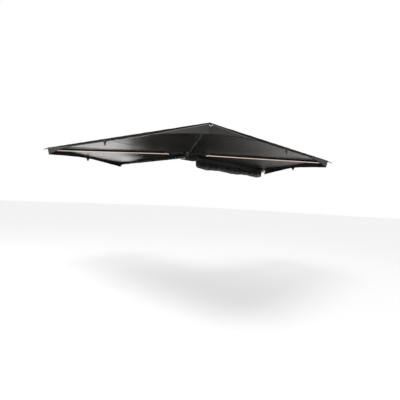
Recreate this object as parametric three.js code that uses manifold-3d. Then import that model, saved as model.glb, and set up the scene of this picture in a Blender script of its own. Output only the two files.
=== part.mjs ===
import * as THREE from 'three';
import { mergeVertices } from 'three/addons/utils/BufferGeometryUtils.js';
import Module from 'manifold-3d';

// Freestanding 270 degree side awning, shown open.
// Millimetres, Z up. The hub pin stands on the Z axis, with the origin on the flat underside of the hub foot.
// The mounting rail and arm A run along +X, and the awning is mounted by its +Y side.
// Arms B, C, D and E turn on the hub pin. When stowed they lie along arm A in five lanes and two rows.

const wasm = await Module();
wasm.setup();

// Driving sizes of the whole awning
const REACH = 2100; // from the pin axis to each corner of the canopy
const OPEN_ANGLE = { a: 0, b: 40, c: 130.5, d: 234.5, e: 277.5 }; // degrees, clockwise seen from above
const LANE_GAP = 10; // between the tubes of one row when stowed
const TIP_SETBACK = 40; // from a tube's tip to the canopy corner

// Clearances
const GAP = 0.3; // between pieces that seat on each other
const OVERRUN = 3; // past a face that a cut runs out of

// Arm tubes, an aluminium box section with a groove along each side
const TUBE_WIDTH = 26;
const TUBE_HEIGHT = 30;
const TUBE_WALL = 2.5;
const TUBE_CORNER = 3;
const TUBE_BORE_CORNER = 1;
const TUBE_GROOVE_WIDTH = 6;
const TUBE_GROOVE_DEPTH = 1;
const TUBE_START = 280; // from the pin axis to the inner end of a hinged tube

// Knuckles, the forged inner ends of the hinged arms
const EYE_RADIUS = 26;
const LOW_EYE_HEIGHT = 14; // eye of arm E, under the lower row
const UPPER_EYE_HEIGHT = 12; // eyes of arms B and D
const ROOT_START = 42; // from the pin axis to the upright root of a knuckle
const ROOT_LENGTH = 34;
const BEAM_WIDTH = 22;
const BEAM_CORNER = 3;
const WEB_THICKNESS = 8;
const POCKET_HEIGHT = 18;
const POCKET_CORNER = 6;
const POCKET_END_WALL = 18;
const TONGUE_LENGTH = 60;

// Hub foot, pin, nut and washers
const FOOT_THICKNESS = 8;
const FOOT_BACK = 62; // from the pin to the edge of the foot away from the rail's far end
const FOOT_SIDE = 58; // from the pin to the outer edge of the foot
const FOOT_UNDER_RAIL = 120; // length of the rail that the foot carries
const FOOT_CORNER = 14;
const FOOT_HOLE_RADIUS = 5;
const FOOT_HOLE_INSET = 16;
const BOSS_HEIGHT = 6;
const CLEAT_THICKNESS = 6;
const CLEAT_HEIGHT = 52;
const PIN_RADIUS = 10;
const WASHER_SPACE = 2; // between one eye and the next
const WASHER_RADIUS = 22;
const NUT_RADIUS = 17;
const NUT_HEIGHT = 12;
const PIN_END = 2; // of the pin above its nut

// Cross bolts that hold a tube on its knuckle
const BOLT_RADIUS = 4;
const BOLT_HEAD_RADIUS = 7;
const BOLT_HEAD_HEIGHT = 3;

// End caps of the tubes
const CAP_THICKNESS = 4;
const CAP_PLUG_LENGTH = 18;

// Light strips under arms B and D
const STRIP_START = 8; // from the inner end of the tube
const STRIP_LENGTH = 1675;
const CHANNEL_WIDTH = 14;
const CHANNEL_HEIGHT = 4.5;
const CHANNEL_WALL = 1.3;
const LENS_WIDTH = 18;
const LENS_HEIGHT = 8.5;
const LENS_WALL = 1.4;
const LENS_CORNER = 5;
const LENS_END_WALL = 2.5;
const OUTLET_LENGTH = 16; // cable outlet at the lens's inner end, turned down
const OUTLET_WIDTH = 16;
const OUTLET_DEPTH = 13.5; // below the lens's top
const OUTLET_MOUTH = 9;
const OUTLET_BEND = 6;

// Canopy of four panels, with a valance that is deep at the corners
const CLOTH = 2.5;
const CLOTH_CLEARANCE = 4; // between the tubes and the cloth
const PANEL_START = 100; // from the pin axis to the inner edge of a panel
const HUB_RUN = 240; // over which the cloth comes down from the hub to the lower arms
const SAG_SHARE = 0.011; // of the span between the arms
const CORNER_DROP = 95;
const HEM_DROP = 28;
const DROP_RUN = 900; // along the edge, from the deep corner to the narrow hem
const CORNER_INSET = 24; // of the corner's lower end, towards the hub
const INSET_RUN = 260;
const DROP_POWER = 1.6;
const SEAM_GAP = 0.8; // between two panels, over an arm
const PANEL_COLUMNS = 24;
const PANEL_ROWS = 7;
const DROP_ROWS = 2;

// Cloth cap over the hub
const CROWN_RADIUS = 125;
const CROWN_RISE = 12;

// Webbing loops with rings at the corners, and pull tabs at the middle of the edges
const LOOP_WIDTH = 12;
const LOOP_LENGTH = 58;
const LOOP_THICKNESS = 2;
const LOOP_INNER_RADIUS = 4.2;
const LOOP_TILT = 14; // degrees below level
const LOOP_BELOW_TOP = 14; // of its inner end's middle, below the top of the cloth
const RING_RADIUS = 14;
const RING_BAR_RADIUS = 2;
const RING_BAR_FACETS = 8;
const RING_FACETS = 20;
const RING_TILT = 38; // degrees below level
const TAB_WIDTH = 25;
const TAB_LENGTH = 52;
const TAB_THICKNESS = 2;
const TOGGLE_RADIUS = 4.5;
const TOGGLE_LENGTH = 34;

// Mounting rail behind arm A
const RAIL_START = 75;
const RAIL_DEPTH = 26;
const RAIL_HEIGHT = 84;
const RAIL_WALL = 3;
const RAIL_SLOT_MOUTH = 8.5;
const RAIL_SLOT_WIDTH = 17;
const RAIL_SLOT_DEPTH = 8;
const RAIL_SLOT_HEIGHT = 54; // of the slot's middle above the rail's lower edge
const BEAD_RADIUS = 4.2;
const BEAD_LIP = 3; // mouth of the bead groove
const BEAD_HEIGHT = 10; // of the groove's middle above the rail's lower edge
const BEAD_DEPTH = 7; // of the groove's middle behind the rail's front face
const FITTING_LENGTH = 70; // of the rail's end inside its front fitting
const FITTING_WALL = 3;

// Brackets behind the rail
const BRACKET_COUNT = 3;
const BRACKET_FIRST = 420; // from the pin to the first bracket
const BRACKET_PITCH = 700;
const BRACKET_WIDTH = 64;
const BRACKET_THICKNESS = 6;
const BRACKET_FOOT = 78;
const BRACKET_RISE = 80;
const BRACKET_SLOT_WIDTH = 9;
const BRACKET_SLOT_LENGTH = 34;
const BRACKET_SLOT_PITCH = 36;

// Saddles that clamp arm A to the rail
const SADDLE_COUNT = 3;
const SADDLE_FIRST = 240;
const SADDLE_PITCH = 840;
const SADDLE_LENGTH = 34;
const SADDLE_THICKNESS = 3;
const SADDLE_EAR = 13;

// Travel cover, unzipped and hanging from the rail
const COVER_START = 225;
const COVER_END_MARGIN = 85; // from the rail's far end
const COVER_DEPTH = 118; // from its top edge to its lowest fold
const COVER_BULGE = 40;
const COVER_NECK = 5;
const COVER_STATIONS = 34;
const COVER_FOLD = 7; // depth of the soft folds
const COVER_FOLDS = 5;
const COVER_WAVES = 2.5; // slow waves of its lowest edge
const COVER_TAPER_SHARES = { length: 0.11, bulge: 0.35, depth: 0.84 }; // where it closes, at its ends

// Facets
const PIN_FACETS = 32;
const HOLE_FACETS = 16;
const CORNER_FACETS = 3;
const HEX_SIDES = 6;

// Working values
const WELD_DISTANCE = 1e-4;
const TUBE_LANES = { a: 2, b: 1, c: 0, d: -1, e: -2 };
const HINGED = ['b', 'c', 'd', 'e'];
const ARMS = ['a', ...HINGED];
const UPPER_ROW = ['b', 'd'];

// Materials
const finish = (color, roughness, metalness) => new THREE.MeshStandardMaterial({ color, roughness, metalness });
const STEEL = finish('#1d1e20', 0.55, 0.6);
const ZINC = finish('#8f9296', 0.4, 0.9);
const ALUMINIUM = finish('#2b2c2e', 0.5, 0.7);
const PLASTIC = finish('#161718', 0.6, 0);
const GREY_PLASTIC = finish('#c3c5c6', 0.55, 0);
const NYLON = finish('#e4e1d8', 0.5, 0);
const CLOTH_FINISH = finish('#3a3937', 0.85, 0);
const COVER_FINISH = finish('#1b1b1c', 0.6, 0);
const WEBBING = finish('#191919', 0.9, 0);
const LENS = finish('#e6dacd', 0.35, 0);

// Places along the pin: the eyes stand on each other with a washer between them
const EYE_HEIGHTS = { e: LOW_EYE_HEIGHT, c: TUBE_HEIGHT, b: UPPER_EYE_HEIGHT, d: UPPER_EYE_HEIGHT };
const bossTop = FOOT_THICKNESS + BOSS_HEIGHT;
const eyes = {};
const washerLevels = [];
let level = bossTop;
for (const [arm, height] of Object.entries(EYE_HEIGHTS)) {
  washerLevels.push(level);
  eyes[arm] = { bottom: level + WASHER_SPACE, top: level + WASHER_SPACE + height };
  level = eyes[arm].top;
}
washerLevels.push(level);
const nutBottom = level + WASHER_SPACE;

const lane = (arm) => TUBE_LANES[arm] * (TUBE_WIDTH + LANE_GAP) / 2;
const tubeBottom = (arm) => UPPER_ROW.includes(arm) ? eyes.d.bottom : eyes.c.bottom;
const tubeMiddle = (arm) => tubeBottom(arm) + TUBE_HEIGHT / 2;
const tipDistance = (arm) => Math.sqrt(REACH ** 2 - lane(arm) ** 2);
const tubeEnd = (arm) => tipDistance(arm) - TIP_SETBACK;
const clothLevel = (arm) => tubeBottom(arm) + TUBE_HEIGHT + CLOTH_CLEARANCE;
const hubClothLevel = clothLevel('d');
const railFront = lane('a') + TUBE_WIDTH / 2 + GAP;
const railBack = railFront + RAIL_DEPTH;
const railBottom = FOOT_THICKNESS + GAP;
const railEnd = tubeEnd('a');

const awning = new THREE.Group();
const armGroups = {};
for (const arm of ARMS) {
  armGroups[arm] = new THREE.Group();
  armGroups[arm].rotation.z = -THREE.MathUtils.degToRad(OPEN_ANGLE[arm]);
  awning.add(armGroups[arm]);
}

function addPiece(name, geometry, material, group = awning) {
  const mesh = new THREE.Mesh(geometry, material);
  mesh.name = name;
  group.add(mesh);
}

// A closed solid for a boolean, from a three.js geometry
function solidOf(geometry) {
  const bare = geometry.clone();
  bare.deleteAttribute('normal');
  bare.deleteAttribute('uv');
  const merged = mergeVertices(bare, WELD_DISTANCE);
  return new wasm.Manifold(new wasm.Mesh({
    numProp: 3,
    vertProperties: new Float32Array(merged.attributes.position.array),
    triVerts: new Uint32Array(merged.index.array),
  }));
}

function geometryOf(solid) {
  const mesh = solid.getMesh();
  const geometry = new THREE.BufferGeometry();
  geometry.setAttribute('position', new THREE.BufferAttribute(new Float32Array(mesh.vertProperties), 3));
  geometry.setIndex(new THREE.BufferAttribute(new Uint32Array(mesh.triVerts), 1));
  return geometry;
}

function extrude(shape, depth, curveSegments = CORNER_FACETS) {
  return new THREE.ExtrudeGeometry(shape, { depth, bevelEnabled: false, curveSegments });
}

// Lays an extrusion along X: the outline's x becomes Y and its y becomes Z
function layAlongX(geometry) {
  const basis = new THREE.Matrix4().makeBasis(
    new THREE.Vector3(0, 1, 0), new THREE.Vector3(0, 0, 1), new THREE.Vector3(1, 0, 0));
  return geometry.applyMatrix4(basis);
}

function roundedRectangle(width, height, radius, Outline = THREE.Shape) {
  const x = width / 2 - radius;
  const y = height / 2 - radius;
  const outline = new Outline();
  outline.moveTo(x + radius, -y);
  outline.absarc(x, y, radius, 0, Math.PI / 2);
  outline.absarc(-x, y, radius, Math.PI / 2, Math.PI);
  outline.absarc(-x, -y, radius, Math.PI, 3 * Math.PI / 2);
  outline.absarc(x, -y, radius, 3 * Math.PI / 2, 2 * Math.PI);
  return outline;
}

function circleOutline(radius, Outline = THREE.Shape) {
  const outline = new Outline();
  outline.absarc(0, 0, radius, 0, 2 * Math.PI);
  return outline;
}

function box(x0, x1, y0, y1, z0, z1) {
  const geometry = new THREE.BoxGeometry(x1 - x0, y1 - y0, z1 - z0);
  return geometry.translate((x0 + x1) / 2, (y0 + y1) / 2, (z0 + z1) / 2);
}

// An upright cylinder between two levels
function post(radius, bottom, top, facets = HOLE_FACETS) {
  const geometry = new THREE.CylinderGeometry(radius, radius, top - bottom, facets);
  return geometry.rotateX(Math.PI / 2).translate(0, 0, (bottom + top) / 2);
}

// A cylinder across an arm, along Y
function crossRod(radius, x, y0, y1, z, facets = HOLE_FACETS) {
  const geometry = new THREE.CylinderGeometry(radius, radius, y1 - y0, facets);
  return geometry.translate(x, (y0 + y1) / 2, z);
}

// The convex outline round a set of plan points
function hullOutline(points) {
  const sorted = [...points].sort((p, q) => p.x - q.x || p.y - q.y);
  const half = (list) => {
    const chain = [];
    for (const p of list) {
      while (chain.length > 1) {
        const [q, r] = chain.slice(-2);
        if ((r.x - q.x) * (p.y - q.y) - (r.y - q.y) * (p.x - q.x) > 0) break;
        chain.pop();
      }
      chain.push(p);
    }
    return chain.slice(0, -1);
  };
  return new THREE.Shape([...half(sorted), ...half(sorted.reverse())]);
}

function circlePoints(radius, count) {
  return Array.from({ length: count }, (_, i) => {
    const angle = 2 * Math.PI * i / count;
    return new THREE.Vector2(radius * Math.cos(angle), radius * Math.sin(angle));
  });
}

// Hub foot: a plate with a boss for the pin and a cleat that the rail bolts to
function hubFoot() {
  const right = RAIL_START + FOOT_UNDER_RAIL;
  const front = railBack + GAP + CLEAT_THICKNESS;
  const width = right + FOOT_BACK;
  const depth = front + FOOT_SIDE;
  const plate = extrude(roundedRectangle(width, depth, FOOT_CORNER), FOOT_THICKNESS)
    .translate((right - FOOT_BACK) / 2, (front - FOOT_SIDE) / 2, 0);
  const boss = post(EYE_RADIUS, FOOT_THICKNESS - OVERRUN, bossTop, PIN_FACETS);
  const cleatStart = RAIL_START + FOOT_CORNER;
  const cleat = box(cleatStart, right - FOOT_CORNER, front - CLEAT_THICKNESS, front,
    FOOT_THICKNESS - OVERRUN, FOOT_THICKNESS + CLEAT_HEIGHT);
  let foot = solidOf(plate).add(solidOf(boss)).add(solidOf(cleat));
  foot = foot.subtract(solidOf(post(PIN_RADIUS + GAP, FOOT_THICKNESS, bossTop + OVERRUN, PIN_FACETS)));
  const [left, side] = [FOOT_HOLE_INSET - FOOT_BACK, FOOT_HOLE_INSET - FOOT_SIDE];
  const far = right - FOOT_HOLE_INSET;
  const holes = [[left, side], [left, front - FOOT_HOLE_INSET], [far, side], [far, 0]];
  for (const [x, y] of holes) {
    const hole = post(FOOT_HOLE_RADIUS, -OVERRUN, FOOT_THICKNESS + OVERRUN).translate(x, y, 0);
    foot = foot.subtract(solidOf(hole));
  }
  return geometryOf(foot);
}

// Washers, pin and nut
function washer(bottom) {
  const outline = circleOutline(WASHER_RADIUS);
  outline.holes.push(circleOutline(PIN_RADIUS + GAP, THREE.Path));
  return extrude(outline, WASHER_SPACE - 2 * GAP, PIN_FACETS / 2).translate(0, 0, bottom + GAP);
}

function pinNut() {
  const outline = new THREE.Shape(circlePoints(NUT_RADIUS, HEX_SIDES));
  outline.holes.push(circleOutline(PIN_RADIUS + GAP, THREE.Path));
  return extrude(outline, NUT_HEIGHT, PIN_FACETS / 2).translate(0, 0, nutBottom);
}

// Knuckle: an eye on the pin, a link out to the arm's lane, an upright root, an I-section beam and a tongue
function knuckle(arm) {
  const y = lane(arm);
  const eye = eyes[arm];
  const middle = tubeMiddle(arm);
  const top = middle + TUBE_HEIGHT / 2;
  const rootEnd = ROOT_START + ROOT_LENGTH;
  const shoulder = TUBE_START - GAP;
  const [near, far] = [y - BEAM_WIDTH / 2, y + BEAM_WIDTH / 2];
  const linkEnd = [near, far].map((side) => new THREE.Vector2(ROOT_START + OVERRUN, side));
  const linkOutline = hullOutline([...circlePoints(EYE_RADIUS, PIN_FACETS), ...linkEnd]);
  const link = extrude(linkOutline, eye.top - eye.bottom).translate(0, 0, eye.bottom);
  const root = box(ROOT_START, rootEnd, near, far, eye.bottom, top);
  const beamOutline = roundedRectangle(BEAM_WIDTH, TUBE_HEIGHT, BEAM_CORNER);
  const beam = layAlongX(extrude(beamOutline, shoulder - ROOT_START)).translate(ROOT_START, y, middle);
  const tongueWidth = TUBE_WIDTH - 2 * (TUBE_WALL + TUBE_GROOVE_DEPTH + GAP);
  const tongueHeight = TUBE_HEIGHT - 2 * (TUBE_WALL + GAP);
  const tongue = box(shoulder - OVERRUN, TUBE_START + TONGUE_LENGTH, y - tongueWidth / 2, y + tongueWidth / 2,
    middle - tongueHeight / 2, middle + tongueHeight / 2);
  let solid = solidOf(link).add(solidOf(root)).add(solidOf(beam)).add(solidOf(tongue));
  const pocketStart = rootEnd + POCKET_END_WALL;
  const pocketLength = shoulder - POCKET_END_WALL - pocketStart;
  const pocketDepth = (BEAM_WIDTH - WEB_THICKNESS) / 2;
  const pocketOutline = roundedRectangle(pocketLength, POCKET_HEIGHT, POCKET_CORNER);
  for (const start of [y - WEB_THICKNESS / 2, far + OVERRUN]) {
    const pocket = extrude(pocketOutline, pocketDepth + OVERRUN).rotateX(Math.PI / 2);
    solid = solid.subtract(solidOf(pocket.translate(pocketStart + pocketLength / 2, start, middle)));
  }
  const bore = post(PIN_RADIUS + GAP, eye.bottom - OVERRUN, eye.top + OVERRUN, PIN_FACETS);
  solid = solid.subtract(solidOf(bore)).subtract(solidOf(boltHole(arm)));
  return geometryOf(solid);
}

const boltPlace = TUBE_START + TONGUE_LENGTH / 2;

function boltHole(arm) {
  const y = lane(arm);
  const reach = TUBE_WIDTH / 2 + OVERRUN;
  return crossRod(BOLT_RADIUS + GAP, boltPlace, y - reach, y + reach, tubeMiddle(arm));
}

function crossBolt(arm) {
  const y = lane(arm);
  const z = tubeMiddle(arm);
  const face = TUBE_WIDTH / 2 + GAP;
  const reach = face + BOLT_HEAD_HEIGHT / 2;
  let bolt = solidOf(crossRod(BOLT_RADIUS, boltPlace, y - reach, y + reach, z));
  for (const side of [-1, 1]) {
    const inner = y + side * face;
    const outer = y + side * (face + BOLT_HEAD_HEIGHT);
    const [low, high] = side < 0 ? [outer, inner] : [inner, outer];
    const head = crossRod(BOLT_HEAD_RADIUS, boltPlace, low, high, z, HEX_SIDES);
    bolt = bolt.add(solidOf(head));
  }
  return geometryOf(bolt);
}

// Arm tube: rounded box section with a groove along each side, open at both ends
function tubeOutline() {
  const x = TUBE_WIDTH / 2;
  const y = TUBE_HEIGHT / 2;
  const r = TUBE_CORNER;
  const grooveHalf = TUBE_GROOVE_WIDTH / 2;
  const floor = x - TUBE_GROOVE_DEPTH;
  const outline = new THREE.Shape();
  outline.moveTo(x, -y + r);
  outline.lineTo(x, -grooveHalf);
  outline.lineTo(floor, -grooveHalf);
  outline.lineTo(floor, grooveHalf);
  outline.lineTo(x, grooveHalf);
  outline.absarc(x - r, y - r, r, 0, Math.PI / 2);
  outline.absarc(-x + r, y - r, r, Math.PI / 2, Math.PI);
  outline.lineTo(-x, grooveHalf);
  outline.lineTo(-floor, grooveHalf);
  outline.lineTo(-floor, -grooveHalf);
  outline.lineTo(-x, -grooveHalf);
  outline.absarc(-x + r, -y + r, r, Math.PI, 3 * Math.PI / 2);
  outline.absarc(x - r, -y + r, r, 3 * Math.PI / 2, 2 * Math.PI);
  const boreWidth = TUBE_WIDTH - 2 * (TUBE_WALL + TUBE_GROOVE_DEPTH);
  const bore = roundedRectangle(boreWidth, TUBE_HEIGHT - 2 * TUBE_WALL, TUBE_BORE_CORNER, THREE.Path);
  outline.holes.push(bore);
  return outline;
}

function armTube(arm) {
  const start = arm === 'a' ? RAIL_START : TUBE_START;
  const tube = layAlongX(extrude(tubeOutline(), tubeEnd(arm) - start));
  tube.translate(start, lane(arm), tubeMiddle(arm));
  return arm === 'a' ? tube : geometryOf(solidOf(tube).subtract(solidOf(boltHole(arm))));
}

// End cap: a rounded plate with a plug that fits the tube. It closes the tube at x, and faces along `facing`.
function endCap(arm, x, facing) {
  const plugSide = TUBE_WIDTH / 2 - TUBE_WALL - TUBE_GROOVE_DEPTH - GAP;
  const plugTop = TUBE_HEIGHT / 2 - TUBE_WALL - GAP;
  const plate = layAlongX(extrude(roundedRectangle(TUBE_WIDTH, TUBE_HEIGHT, TUBE_CORNER), CAP_THICKNESS));
  const plug = box(-CAP_PLUG_LENGTH, CAP_THICKNESS / 2, -plugSide, plugSide, -plugTop, plugTop);
  const cap = geometryOf(solidOf(plate).add(solidOf(plug))).translate(GAP, 0, 0);
  if (facing < 0) cap.rotateZ(Math.PI);
  return cap.translate(x, lane(arm), tubeMiddle(arm));
}

// Light strip: an aluminium channel under the tube, and a milky lens that clips over it.
// A strip is drawn with its inner end at x 0 and its top at z 0, and `margin` shortens it at both ends.
function stripBar(outline, margin = 0) {
  return layAlongX(extrude(outline, STRIP_LENGTH - 2 * margin)).translate(margin, 0, 0);
}

function underTube(geometry, arm) {
  return geometry.translate(TUBE_START + STRIP_START, lane(arm), tubeBottom(arm) - GAP);
}

function stripChannel(arm) {
  const half = CHANNEL_WIDTH / 2;
  const inner = half - CHANNEL_WALL;
  const outline = new THREE.Shape([
    [-half, -CHANNEL_HEIGHT], [-inner, -CHANNEL_HEIGHT], [-inner, -CHANNEL_WALL], [inner, -CHANNEL_WALL],
    [inner, -CHANNEL_HEIGHT], [half, -CHANNEL_HEIGHT], [half, 0], [-half, 0],
  ].map(([x, y]) => new THREE.Vector2(x, y)));
  return underTube(stripBar(outline, LENS_END_WALL + GAP), arm);
}

// The lens's section, drawn in by `wall`, with its open side at `top`
function lensSection(wall, top) {
  const half = LENS_WIDTH / 2 - wall;
  const corner = LENS_CORNER - wall;
  const shoulder = LENS_CORNER - LENS_HEIGHT;
  const outline = new THREE.Shape();
  outline.moveTo(-half, top);
  outline.lineTo(-half, shoulder);
  outline.absarc(-half + corner, shoulder, corner, Math.PI, 3 * Math.PI / 2);
  outline.absarc(half - corner, shoulder, corner, 3 * Math.PI / 2, 2 * Math.PI);
  outline.lineTo(half, top);
  return outline;
}

// Cable outlet at the hub end of the lens, seen from the side: an elbow that turns down
function cableOutlet() {
  const outline = new THREE.Shape();
  outline.moveTo(OVERRUN, 0);
  outline.lineTo(OUTLET_BEND - OUTLET_LENGTH, 0);
  outline.absarc(OUTLET_BEND - OUTLET_LENGTH, -OUTLET_BEND, OUTLET_BEND, Math.PI / 2, Math.PI);
  outline.lineTo(-OUTLET_LENGTH, -OUTLET_DEPTH);
  outline.lineTo(OUTLET_MOUTH - OUTLET_LENGTH, -OUTLET_DEPTH);
  outline.lineTo(OUTLET_MOUTH - OUTLET_LENGTH, -LENS_HEIGHT + LENS_WALL);
  outline.lineTo(OVERRUN, -LENS_HEIGHT + LENS_WALL);
  return extrude(outline, OUTLET_WIDTH).rotateX(Math.PI / 2).translate(0, OUTLET_WIDTH / 2, 0);
}

function stripLens(arm) {
  const whole = solidOf(stripBar(lensSection(0, 0))).add(solidOf(cableOutlet()));
  const inside = solidOf(stripBar(lensSection(LENS_WALL, OVERRUN), LENS_END_WALL));
  return underTube(geometryOf(whole.subtract(inside)), arm);
}

// A point beside an arm's centre line, in the awning's frame: `side` is to the left of the arm
function beside(arm, distance, side, z) {
  const point = new THREE.Vector3(distance, lane(arm) + side, z);
  return point.applyAxisAngle(new THREE.Vector3(0, 0, 1), -THREE.MathUtils.degToRad(OPEN_ANGLE[arm]));
}

// Height of the cloth over an arm: it comes down from the hub to the arm's own row
function clothHeight(arm, distance) {
  const share = THREE.MathUtils.smoothstep(distance, PANEL_START, PANEL_START + HUB_RUN);
  return THREE.MathUtils.lerp(hubClothLevel, clothLevel(arm), share);
}

// Where a panel's two side edges lie beside the centre lines of its arms
function panelSides(from, to) {
  return {
    from: from === 'a' ? TUBE_WIDTH / 2 - SADDLE_THICKNESS - 2 * GAP : -SEAM_GAP / 2,
    to: to === 'e' ? -TUBE_WIDTH / 2 : SEAM_GAP / 2,
  };
}

// One skin of a panel, as rows of points from the hub to the edge and on down the valance.
// `depth` is how far the skin lies inside the outer one.
function panelSkin(from, to, depth) {
  const sides = panelSides(from, to);
  const span = THREE.MathUtils.degToRad(OPEN_ANGLE[to] - OPEN_ANGLE[from]);
  const mitre = depth / Math.cos(span / 2);
  const place = (arm, side, share) => {
    const start = PANEL_START;
    const distance = THREE.MathUtils.lerp(start, tipDistance(arm) - mitre, share);
    return beside(arm, distance, side, clothHeight(arm, distance) + CLOTH - depth);
  };
  const rows = [];
  for (let row = 0; row <= PANEL_ROWS; row += 1) {
    const share = row / PANEL_ROWS;
    const first = place(from, sides.from, share);
    const last = place(to, sides.to, share);
    const sag = SAG_SHARE * first.distanceTo(last) * Math.sin(Math.PI * share);
    rows.push(Array.from({ length: PANEL_COLUMNS + 1 }, (_, column) => {
      const across = column / PANEL_COLUMNS;
      return first.clone().lerp(last, across).add(new THREE.Vector3(0, 0, -4 * sag * across * (1 - across)));
    }));
  }
  const edge = rows[PANEL_ROWS];
  const length = edge[0].distanceTo(edge[PANEL_COLUMNS]);
  for (let row = 1; row <= DROP_ROWS; row += 1) {
    const share = row / DROP_ROWS;
    rows.push(edge.map((point, column) => {
      const along = length * column / PANEL_COLUMNS;
      const corner = Math.min(along, length - along);
      const deep = Math.max(0, 1 - corner / DROP_RUN) ** DROP_POWER;
      const drop = HEM_DROP + (CORNER_DROP - HEM_DROP) * deep;
      const inset = CORNER_INSET * Math.max(0, 1 - corner / INSET_RUN) * share;
      const arm = along < length / 2 ? from : to;
      const inwards = beside(arm, -1, -lane(arm), 0).multiplyScalar(inset);
      return point.clone().add(inwards).add(new THREE.Vector3(0, 0, -drop * share));
    }));
  }
  return rows;
}

// Joins two skins of the same grid into one closed body
function shellGeometry(outer, inner) {
  const rows = outer.length;
  const columns = outer[0].length;
  const points = [...outer.flat(), ...inner.flat()];
  const at = (skin, row, column) => skin * rows * columns + row * columns + column;
  const index = [];
  const quad = (a, b, c, d) => index.push(a, b, c, a, c, d);
  for (let row = 0; row + 1 < rows; row += 1) {
    for (let column = 0; column + 1 < columns; column += 1) {
      quad(at(0, row, column), at(0, row, column + 1), at(0, row + 1, column + 1), at(0, row + 1, column));
      quad(at(1, row, column), at(1, row + 1, column), at(1, row + 1, column + 1), at(1, row, column + 1));
    }
    const last = columns - 1;
    quad(at(0, row, 0), at(0, row + 1, 0), at(1, row + 1, 0), at(1, row, 0));
    quad(at(0, row + 1, last), at(0, row, last), at(1, row, last), at(1, row + 1, last));
  }
  for (let column = 0; column + 1 < columns; column += 1) {
    const last = rows - 1;
    quad(at(0, 0, column + 1), at(0, 0, column), at(1, 0, column), at(1, 0, column + 1));
    quad(at(0, last, column), at(0, last, column + 1), at(1, last, column + 1), at(1, last, column));
  }
  const geometry = new THREE.BufferGeometry().setFromPoints(points);
  geometry.setIndex(index);
  return geometry;
}

function panel(from, to) {
  return shellGeometry(panelSkin(from, to, 0), panelSkin(from, to, CLOTH));
}

// Cloth crown over the hub, a shallow cone
function crown() {
  const rim = hubClothLevel + CLOTH + GAP;
  const profile = [
    [0, rim + CROWN_RISE], [CROWN_RADIUS, rim], [CROWN_RADIUS, rim + CLOTH], [0, rim + CROWN_RISE + CLOTH],
  ].map(([x, y]) => new THREE.Vector2(x, y));
  return new THREE.LatheGeometry(profile, PIN_FACETS).rotateX(Math.PI / 2);
}

// Where a webbing loop starts: the middle of its inner end, seated on the slanting corner of the valance
function loopPlace(arm) {
  const outer = LOOP_INNER_RADIUS + LOOP_THICKNESS;
  const slope = CORNER_INSET / CORNER_DROP;
  const below = LOOP_BELOW_TOP;
  const side = arm === 'e' ? (LOOP_WIDTH - TUBE_WIDTH) / 2 : 0;
  return new THREE.Vector3(
    tipDistance(arm) - slope * below + (outer + GAP) * Math.hypot(1, slope),
    lane(arm) + side,
    clothLevel(arm) + CLOTH - below,
  );
}

// Webbing loop at a corner of the canopy, in the arm's own frame
function cornerLoop(arm) {
  const inner = LOOP_INNER_RADIUS;
  const outer = inner + LOOP_THICKNESS;
  const straight = LOOP_LENGTH - 2 * outer;
  const place = loopPlace(arm);
  const racetrack = (radius, Outline) => {
    const outline = new Outline();
    outline.moveTo(0, -radius);
    outline.absarc(straight, 0, radius, -Math.PI / 2, Math.PI / 2);
    outline.absarc(0, 0, radius, Math.PI / 2, 3 * Math.PI / 2);
    return outline;
  };
  const outline = racetrack(outer, THREE.Shape);
  outline.holes.push(racetrack(inner, THREE.Path));
  return extrude(outline, LOOP_WIDTH, HOLE_FACETS / 2)
    .translate(0, 0, -LOOP_WIDTH / 2)
    .rotateX(Math.PI / 2)
    .rotateY(THREE.MathUtils.degToRad(LOOP_TILT))
    .translate(place.x, place.y, place.z);
}

// Ring that lies in the outer bight of a loop and dips below it
function cornerRing(arm) {
  const outer = LOOP_INNER_RADIUS + LOOP_THICKNESS;
  const dip = RING_RADIUS - Math.sqrt(RING_RADIUS ** 2 - (LOOP_WIDTH / 2) ** 2);
  const bight = LOOP_LENGTH - 2 * outer + LOOP_INNER_RADIUS - RING_BAR_RADIUS - GAP - dip;
  const loopTilt = THREE.MathUtils.degToRad(LOOP_TILT);
  const ringTilt = THREE.MathUtils.degToRad(RING_TILT);
  const place = loopPlace(arm);
  return new THREE.TorusGeometry(RING_RADIUS, RING_BAR_RADIUS, RING_BAR_FACETS, RING_FACETS)
    .translate(RING_RADIUS, 0, 0)
    .rotateY(ringTilt)
    .translate(place.x + bight * Math.cos(loopTilt), place.y, place.z - bight * Math.sin(loopTilt));
}

// Pull tab with a small toggle, at the middle of a panel's edge
function pullTab(from, to) {
  const sides = panelSides(from, to);
  const first = beside(from, tipDistance(from), sides.from, clothLevel(from));
  const last = beside(to, tipDistance(to), sides.to, clothLevel(to));
  const middle = first.clone().lerp(last, 1 / 2);
  const along = Math.atan2(last.y - first.y, last.x - first.x);
  const strap = box(-TAB_WIDTH / 2, TAB_WIDTH / 2, 0, TAB_THICKNESS, -TAB_LENGTH, 0);
  const toggle = new THREE.CylinderGeometry(TOGGLE_RADIUS, TOGGLE_RADIUS, TOGGLE_LENGTH, HOLE_FACETS)
    .rotateZ(Math.PI / 2)
    .translate(0, TAB_THICKNESS / 2, -TAB_LENGTH);
  return geometryOf(solidOf(strap).add(solidOf(toggle)))
    .rotateZ(along)
    .translate(middle.x, middle.y, middle.z)
    .translate(-Math.sin(along) * GAP, Math.cos(along) * GAP, 0);
}

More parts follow.
